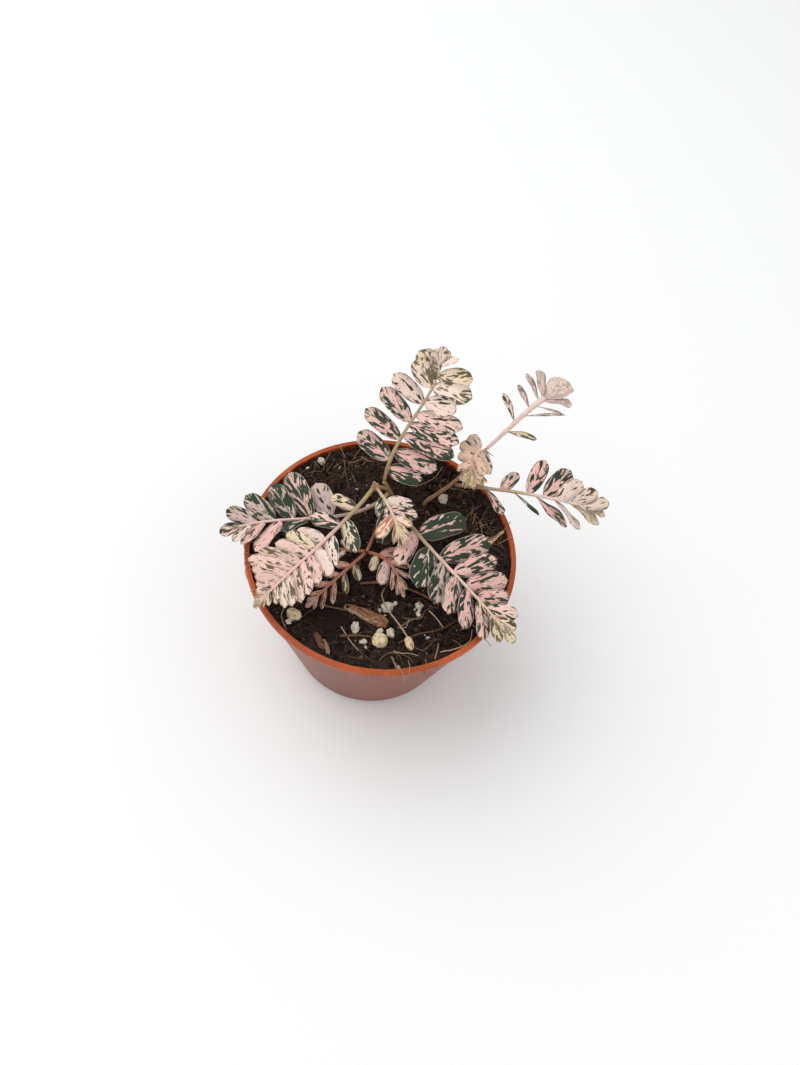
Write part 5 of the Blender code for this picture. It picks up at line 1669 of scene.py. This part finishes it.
def turned_out(place, turn, lift, roll, side=1):
    """The matrix of a leaflet that is turned away from its rachis to a side, lifted and then rolled."""
    point, along, up = place
    flat = along * math.cos(turn) + up.cross(along) * side * math.sin(turn)
    out = flat * math.cos(lift) + up * math.sin(lift)
    return placed(point, out, Matrix.Rotation(roll, 3, out) @ (up * math.cos(lift) - flat * math.sin(lift)))


def half_width(t, width, widest):
    """Half the width of a leaflet at a share of its length: oblong, and widest past the middle."""
    power = math.log(0.5) / math.log(widest)
    round_part = np.sqrt(np.clip(1 - np.abs(2 * t**power - 1) ** SQUARENESS, 0, 1))
    return np.maximum(PETIOLE_HALF_WIDTH * (1 - t), width / 2 * round_part)


def add_leaflet(shape, place, size, thickness, tone, seed, side=0.0):
    """One thin closed blade. size is (length, width, sag, fold, place where it is widest), and tone is
    (colour, streak colour, share of streaks, share of half tone). side is 1 on the left of a rachis, -1 on
    its right and 0 elsewhere."""
    length, width, sag, fold, widest = size
    base, streak, share, grey = tone
    rows = max(9, round(length * 1.1) + 4)
    columns = BLADE_COLUMNS if width > NARROW_WIDTH else NARROW_COLUMNS
    station = (1 - np.cos(np.pi * np.linspace(0, 1, rows))) / 2 * 0.999
    t, v = np.meshgrid(station, np.linspace(-1, 1, columns), indexing="ij")
    half = half_width(t, width, widest)
    crease = np.sqrt(v * v + 0.015) - 0.12
    x = length * (t - TIP_ROUND * v * v * t**8)
    y = v * half
    z = fold * half * crease - EDGE_DROOP * half * v * v - sag * length * t * t
    z = z + EDGE_WAVE * half * v * v * np.sin(2 * np.pi * (1.4 * t + 0.37 * seed) + 0.8 * np.sign(v))
    veins = np.cos(2 * np.pi * (x / VEIN_SPACING - np.abs(y) / 2.2))
    z = z + VEIN_RELIEF * veins * np.sqrt(np.abs(v)) * (1 - v**4)
    middle = np.stack([x, y, z], axis=-1)
    normal = np.cross(np.gradient(middle, axis=0), np.gradient(middle, axis=1))
    normal /= np.maximum(np.linalg.norm(normal, axis=-1, keepdims=True), 1e-9)
    depth = (thickness / 2 * (0.4 + 0.6 * (1 - v**4)))[..., None]
    top = (middle + normal * depth).reshape(-1, 3)
    bottom = (middle - normal * depth).reshape(-1, 3)
    count = rows * columns
    faces = []
    for i in range(rows - 1):
        for j in range(columns - 1):
            a, b = i * columns + j, (i + 1) * columns + j
            faces.append((a, b, b + 1, a + 1))
            faces.append((count + a, count + a + 1, count + b + 1, count + b))
    rim = [i * columns for i in range(rows)] + [(rows - 1) * columns + j for j in range(1, columns)]
    rim += [i * columns + columns - 1 for i in range(rows - 2, -1, -1)] + list(range(columns - 2, 0, -1))
    for a, b in zip(rim, rim[1:] + rim[:1]):
        faces.append((a, count + a, count + b, b))
    turn = np.array(place.to_3x3())
    points = np.concatenate([top, bottom]) @ turn.T + np.array(place.translation)
    edge = np.minimum((1 - np.abs(v)) * half, (1 - t) * length).ravel()
    under = np.repeat((0.0, 1.0), count)
    blade = np.stack([x.ravel(), y.ravel(), np.full(count, 7.31 * seed)], axis=1)
    # The second value of leaf marks the side that lies under the next leaflet, where painted shade goes
    shape.add(
        points, faces, tint=base, streak=streak, blade=np.tile(blade, (2, 1)),
        look=np.column_stack([np.full(2 * count, share), np.full(2 * count, grey), under]),
        leaf=np.column_stack([np.tile(t.ravel(), 2), np.tile(-side * v.ravel(), 2), np.tile(edge, 2)]),
    )


def leaf_tone(look, stops, place, draw):
    """A leaflet's colour, streak colour, share of streaks and share of half tone at its place in the row."""
    base = stops_at(stops, place, lambda stop: getattr(look, stop[1]))
    streak = stops_at(stops, place, lambda stop: getattr(look, stop[2]))
    share, grey = stops_at(stops, place, lambda stop: stop[3:5])
    share = min(max(share + draw.uniform(-0.08, 0.08), 0.02), 0.97)
    return base * draw.uniform(0.88, 1.08), streak, share, max(grey + draw.uniform(-0.1, 0.1), 0.0)


def add_leaflets(shape, plant, frames, look):
    """All leaflets of a branchlet, placed with a little seeded variety."""
    draw = random.Random(plant.seed)
    mottle = random.Random(plant.seed + MOTTLE_SEED)
    thickness = look.thickness / MM
    for side, row in ((1, plant.left), (-1, plant.right)):
        for place, length, width, angle in row.leaflets:
            lift = math.radians(row.lift + draw.uniform(-LIFT_SPREAD, LIFT_SPREAD))
            tilt = row.roll[0] * (1 - place) + row.roll[1] * place
            roll = math.radians(tilt + draw.uniform(-ROLL_SPREAD, ROLL_SPREAD)) * side
            pose = turned_out(frame_at(frames, place), math.radians(angle), lift, roll, side)
            size = (length, width, SAG * draw.uniform(*SAG_SPREAD), row.fold, row.widest)
            tone = leaf_tone(look, row.looks, place, mottle)
            add_leaflet(shape, pose, size, thickness, tone, mottle.uniform(1, 40), side)
    point, along, up = frame_at(frames, TIP_PLACE)
    tone = leaf_tone(look, plant.left.looks, 1.0, mottle)
    size = (*plant.end_leaf, SAG, END_LEAF_FOLD, plant.left.widest)
    add_leaflet(shape, placed(point, along, up), size, thickness, tone, mottle.uniform(1, 40))


def add_tuft(shape, plant, frames, look):
    """Narrow young leaves around the tip of a branchlet."""
    count, length, width, spread, shade = plant.tuft
    draw = random.Random(plant.seed + TUFT_SEED)
    for k in range(count):
        share = 2 * (k + draw.uniform(0.2, 0.8)) / count - 1
        place = frame_at(frames, TIP_PLACE - 0.004 * count * abs(share))
        lift = math.radians(draw.uniform(-0.1, 0.4) * spread)
        pose = turned_out(place, math.radians(share * spread), lift, draw.uniform(-0.5, 0.5))
        long, wide = length * draw.uniform(0.75, 1.05), width * draw.uniform(0.7, 1.3)
        size = (long, wide, draw.uniform(0.0, 0.2), 0.4, 0.7)
        tone = (vary(draw, getattr(look, shade), 0.15), np.array(look.olive), draw.uniform(0.02, 0.25), 0.0)
        add_leaflet(shape, pose, size, look.thickness / MM, tone, draw.uniform(1, 40))


def rachis_colour(look, plant, place):
    """The colour of a rachis at a share of its length."""
    return stops_at(plant.rachis, place, lambda stop: getattr(look, stop[1]))


def add_rachis(shape, plant, frames, look):
    """The rachis with small swellings and a pair of stipules at each leaflet's foot."""
    points = np.array([point for point, _, _ in frames])
    share = np.linspace(0, 1, len(points))
    feet = [leaflet[0] for row in (plant.left, plant.right) for leaflet in row.leaflets]
    swell = sum(np.exp(-(((share - foot) * plant.length / NODE_REACH) ** 2)) for foot in feet)
    radii = np.interp(share, (0, 1), plant.radii) * (1 + NODE_SWELL * np.minimum(swell, 1.2))
    colours = [rachis_colour(look, plant, s) for s in share]
    add_tube(shape, points, radii, RACHIS_SIDES, colours, plant.seed * 1.3)
    draw = random.Random(plant.seed + STIPULE_SEED)
    for side, row in ((1, plant.left), (-1, plant.right)):
        for foot, *_ in row.leaflets:
            point, along, up = frame_at(frames, foot)
            left = up.cross(along) * side
            start = point + left * 0.3 + up * 0.25
            out = along * draw.uniform(0.5, 1.0) + left * 0.55 + up * draw.uniform(0.3, 0.7)
            tip = start + out * STIPULE_LENGTH
            tint = rachis_colour(look, plant, foot)
            route = np.linspace(np.array(start), np.array(tip), len(STIPULE_RADII))
            add_tube(shape, route, STIPULE_RADII, 5, 0.5 * tint + 0.5 * np.array(look.pale))


def leaf_material(leaves):
    """Streaked, blotched and speckled leaflets with a thin pale margin, a broken dark line by the margin that
    is partly painted shadow between overlapping leaflets, and painted shade on the side that lies under the
    next leaflet. The values at each point are its place along and across the blade in millimetres, the shares
    of streaks and half tone, which side lies under the next leaflet, and the distance to the edge."""
    net = Net("variegated_leaf")
    along, across, seed = net.parts(net.attribute("blade"))
    station, outer, edge = net.parts(net.attribute("leaf"))
    share, grey, under = net.parts(net.attribute("look"))
    side = across.math("SIGN")
    fan = across.math("ABSOLUTE") - along * 0.24
    ragged = net.noise(net.vector(along * 0.8, fan * 2.0, seed * 1.7), 1.0, 3, 0.6) - 0.5
    flow = net.vector(along * 0.23, fan * 0.86, seed + side * 3.1)
    field = net.noise(flow, 1.0, 1.2, 0.5, 0.3) + ragged * 0.13 + net.step(edge, 1.0, 0.0) * 0.05
    sector = net.noise(net.vector(along * 0.05, seed * 3.7, side * 11.3), 1.0, 1) - 0.5
    level = 0.69 - share * 0.39 - sector * 0.36
    streaks = net.step(field, level - 0.010, level + 0.014)
    veil = net.noise(net.vector(along * 0.20, fan * 0.48, seed * 2.3 + side * 1.7), 1.0, 2) + ragged * 0.12
    patches = net.step(veil, 0.715 - grey * 0.42, 0.730 - grey * 0.42)
    dashes = net.noise(net.vector(along * 0.42, fan * 1.35, seed * 3.3 + side), 1.0, 0.6) + ragged * 0.10
    specks = net.step(dashes, 0.715 - share * 0.09, 0.735 - share * 0.09)
    lines = net.noise(net.vector(along * 0.45, side * 5.0, seed * 1.9), 1.0, 2, 0.6)
    # A broken dark line near the margin: partly the leaflet's dark edge, partly painted shadow between
    # overlapping leaflets
    dark_margin_and_shadow = net.step(edge, 0.58, 0.46) * net.step(edge, 0.13, 0.20) * net.step(lines, 0.47, 0.51)
    contour = net.step(field, level - 0.14, level - 0.12) * net.step(field, level - 0.07, level - 0.09)
    contour = contour * net.step(ragged, 0.0, 0.10) * 0.45
    cloud = net.noise(net.vector(along * 0.3, across * 0.4, seed), 1.0, 3)
    body = net.mix(net.step(cloud, 0.45, 0.75) * 0.40, net.tint(), leaves.pale)
    body = net.mix(net.step(station, 0.45, 1.0) * 0.30, body, leaves.cream)
    veins = net.noise(net.vector(along * 0.5 - across.math("ABSOLUTE") * 0.9, across * 0.7, seed), 2.2, 2)
    body = net.mix(net.step(veins, 0.55, 0.75) * 0.18, body, leaves.mauve)
    body = net.mix(patches * 0.9, body, leaves.half_tone)
    marks = specks.math("MAXIMUM", contour).math("MAXIMUM", dark_margin_and_shadow * 0.85)
    body = net.mix(marks * 0.9, body, net.mix(0.35, leaves.umber, net.tint("streak")))
    deep = net.mix(net.step(ragged, -0.1, 0.2) * 0.4, net.tint("streak"), leaves.green)
    body = net.mix(streaks, body, deep)
    midrib = net.step(across.math("ABSOLUTE"), 0.20, 0.05) * net.step(station, 0.85, 0.25)
    body = net.mix(midrib * 0.55, body, leaves.blush)
    body = net.mix(net.step(edge, 0.22, 0.06) * 0.55, body, leaves.pale)
    body = net.mix(under * 0.25, body, leaves.half_tone)
    # Painted shade: the side of each leaflet that lies under its neighbour is darkened
    body = net.mix(net.step(outer, 0.15, 1.0) * 0.38, body, OVERLAP_PAINTED_SHADE)
    quilt = veins * 0.5 + net.noise(net.vector(along, across, seed), 3.0, 3) * 0.5
    roughness = 0.40 + net.noise(flow, 3.0, 2) * 0.16
    return net.finish(
        Base_Color=body, Roughness=roughness, Specular_IOR_Level=0.25, Normal=net.bump(quilt, 0.10)
    )


class CHAMBER_OT_branchlets(bpy.types.Operator):
    """Makes the eleven branchlets with all their leaflets"""

    bl_idname = "chamber_bitter.branchlets"
    bl_label = "Branchlets"

    def execute(self, context):
        look = context.scene.chamber_bitter.leaves
        blades = leaf_material(look)
        skin = shoot_material("rachis_skin")
        for plant in BRANCHLETS:
            frames = rachis_frames(plant)
            leaflets, rachis = Shape(), Shape()
            add_leaflets(leaflets, plant, frames, look)
            add_tuft(leaflets, plant, frames, look)
            add_rachis(rachis, plant, frames, look)
            if plant.name == "front_right":
                add_tube(rachis, smooth_line(BRISTLE, 8), BRISTLE_RADIUS, 6, np.array(look.tan) * 0.6)
            for shape, prefix, material in ((leaflets, "leaflets_", blades), (rachis, "rachis_", skin)):
                made = shape.make(prefix + plant.name, material, 75.0)
                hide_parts("branchlet_" + plant.name)
        return {"FINISHED"}


# Panel and registration

OPERATORS = (
    CHAMBER_OT_stage, CHAMBER_OT_pot, CHAMBER_OT_soil, CHAMBER_OT_litter, CHAMBER_OT_grains,
    CHAMBER_OT_bark, CHAMBER_OT_strands, CHAMBER_OT_stems, CHAMBER_OT_branchlets,
)
GROUPS = (ChamberStage, ChamberPot, ChamberSoil, ChamberLeaves, ChamberSettings)


class CHAMBER_PT_panel(bpy.types.Panel):
    """Lists the pieces and their settings"""

    bl_label = "Chamber Bitter"
    bl_idname = "CHAMBER_PT_panel"
    bl_space_type = "VIEW_3D"
    bl_region_type = "UI"
    bl_category = "Chamber Bitter"

    def draw(self, context):
        settings = context.scene.chamber_bitter
        for operator in OPERATORS:
            self.layout.operator(operator.bl_idname)
        for name in ("stage", "pot", "soil", "leaves"):
            box = self.layout.box()
            group = getattr(settings, name)
            for key in type(group).__annotations__:
                box.prop(group, key)


CLASSES = (*GROUPS, *OPERATORS, CHAMBER_PT_panel)


def register():
    for cls in CLASSES:
        bpy.utils.register_class(cls)
    bpy.types.Scene.chamber_bitter = PointerProperty(type=ChamberSettings)


def unregister():
    del bpy.types.Scene.chamber_bitter
    for cls in reversed(CLASSES):
        bpy.utils.unregister_class(cls)


def write_size():
    """Updates the view layer."""
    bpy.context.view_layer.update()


def main():
    register()
    bpy.ops.chamber_bitter.stage()
    bpy.ops.chamber_bitter.pot()
    bpy.ops.chamber_bitter.soil()
    bpy.ops.chamber_bitter.litter()
    bpy.ops.chamber_bitter.grains()
    bpy.ops.chamber_bitter.bark()
    bpy.ops.chamber_bitter.strands()
    bpy.ops.chamber_bitter.stems()
    bpy.ops.chamber_bitter.branchlets()
    write_size()


if __name__ == "__main__":
    main()
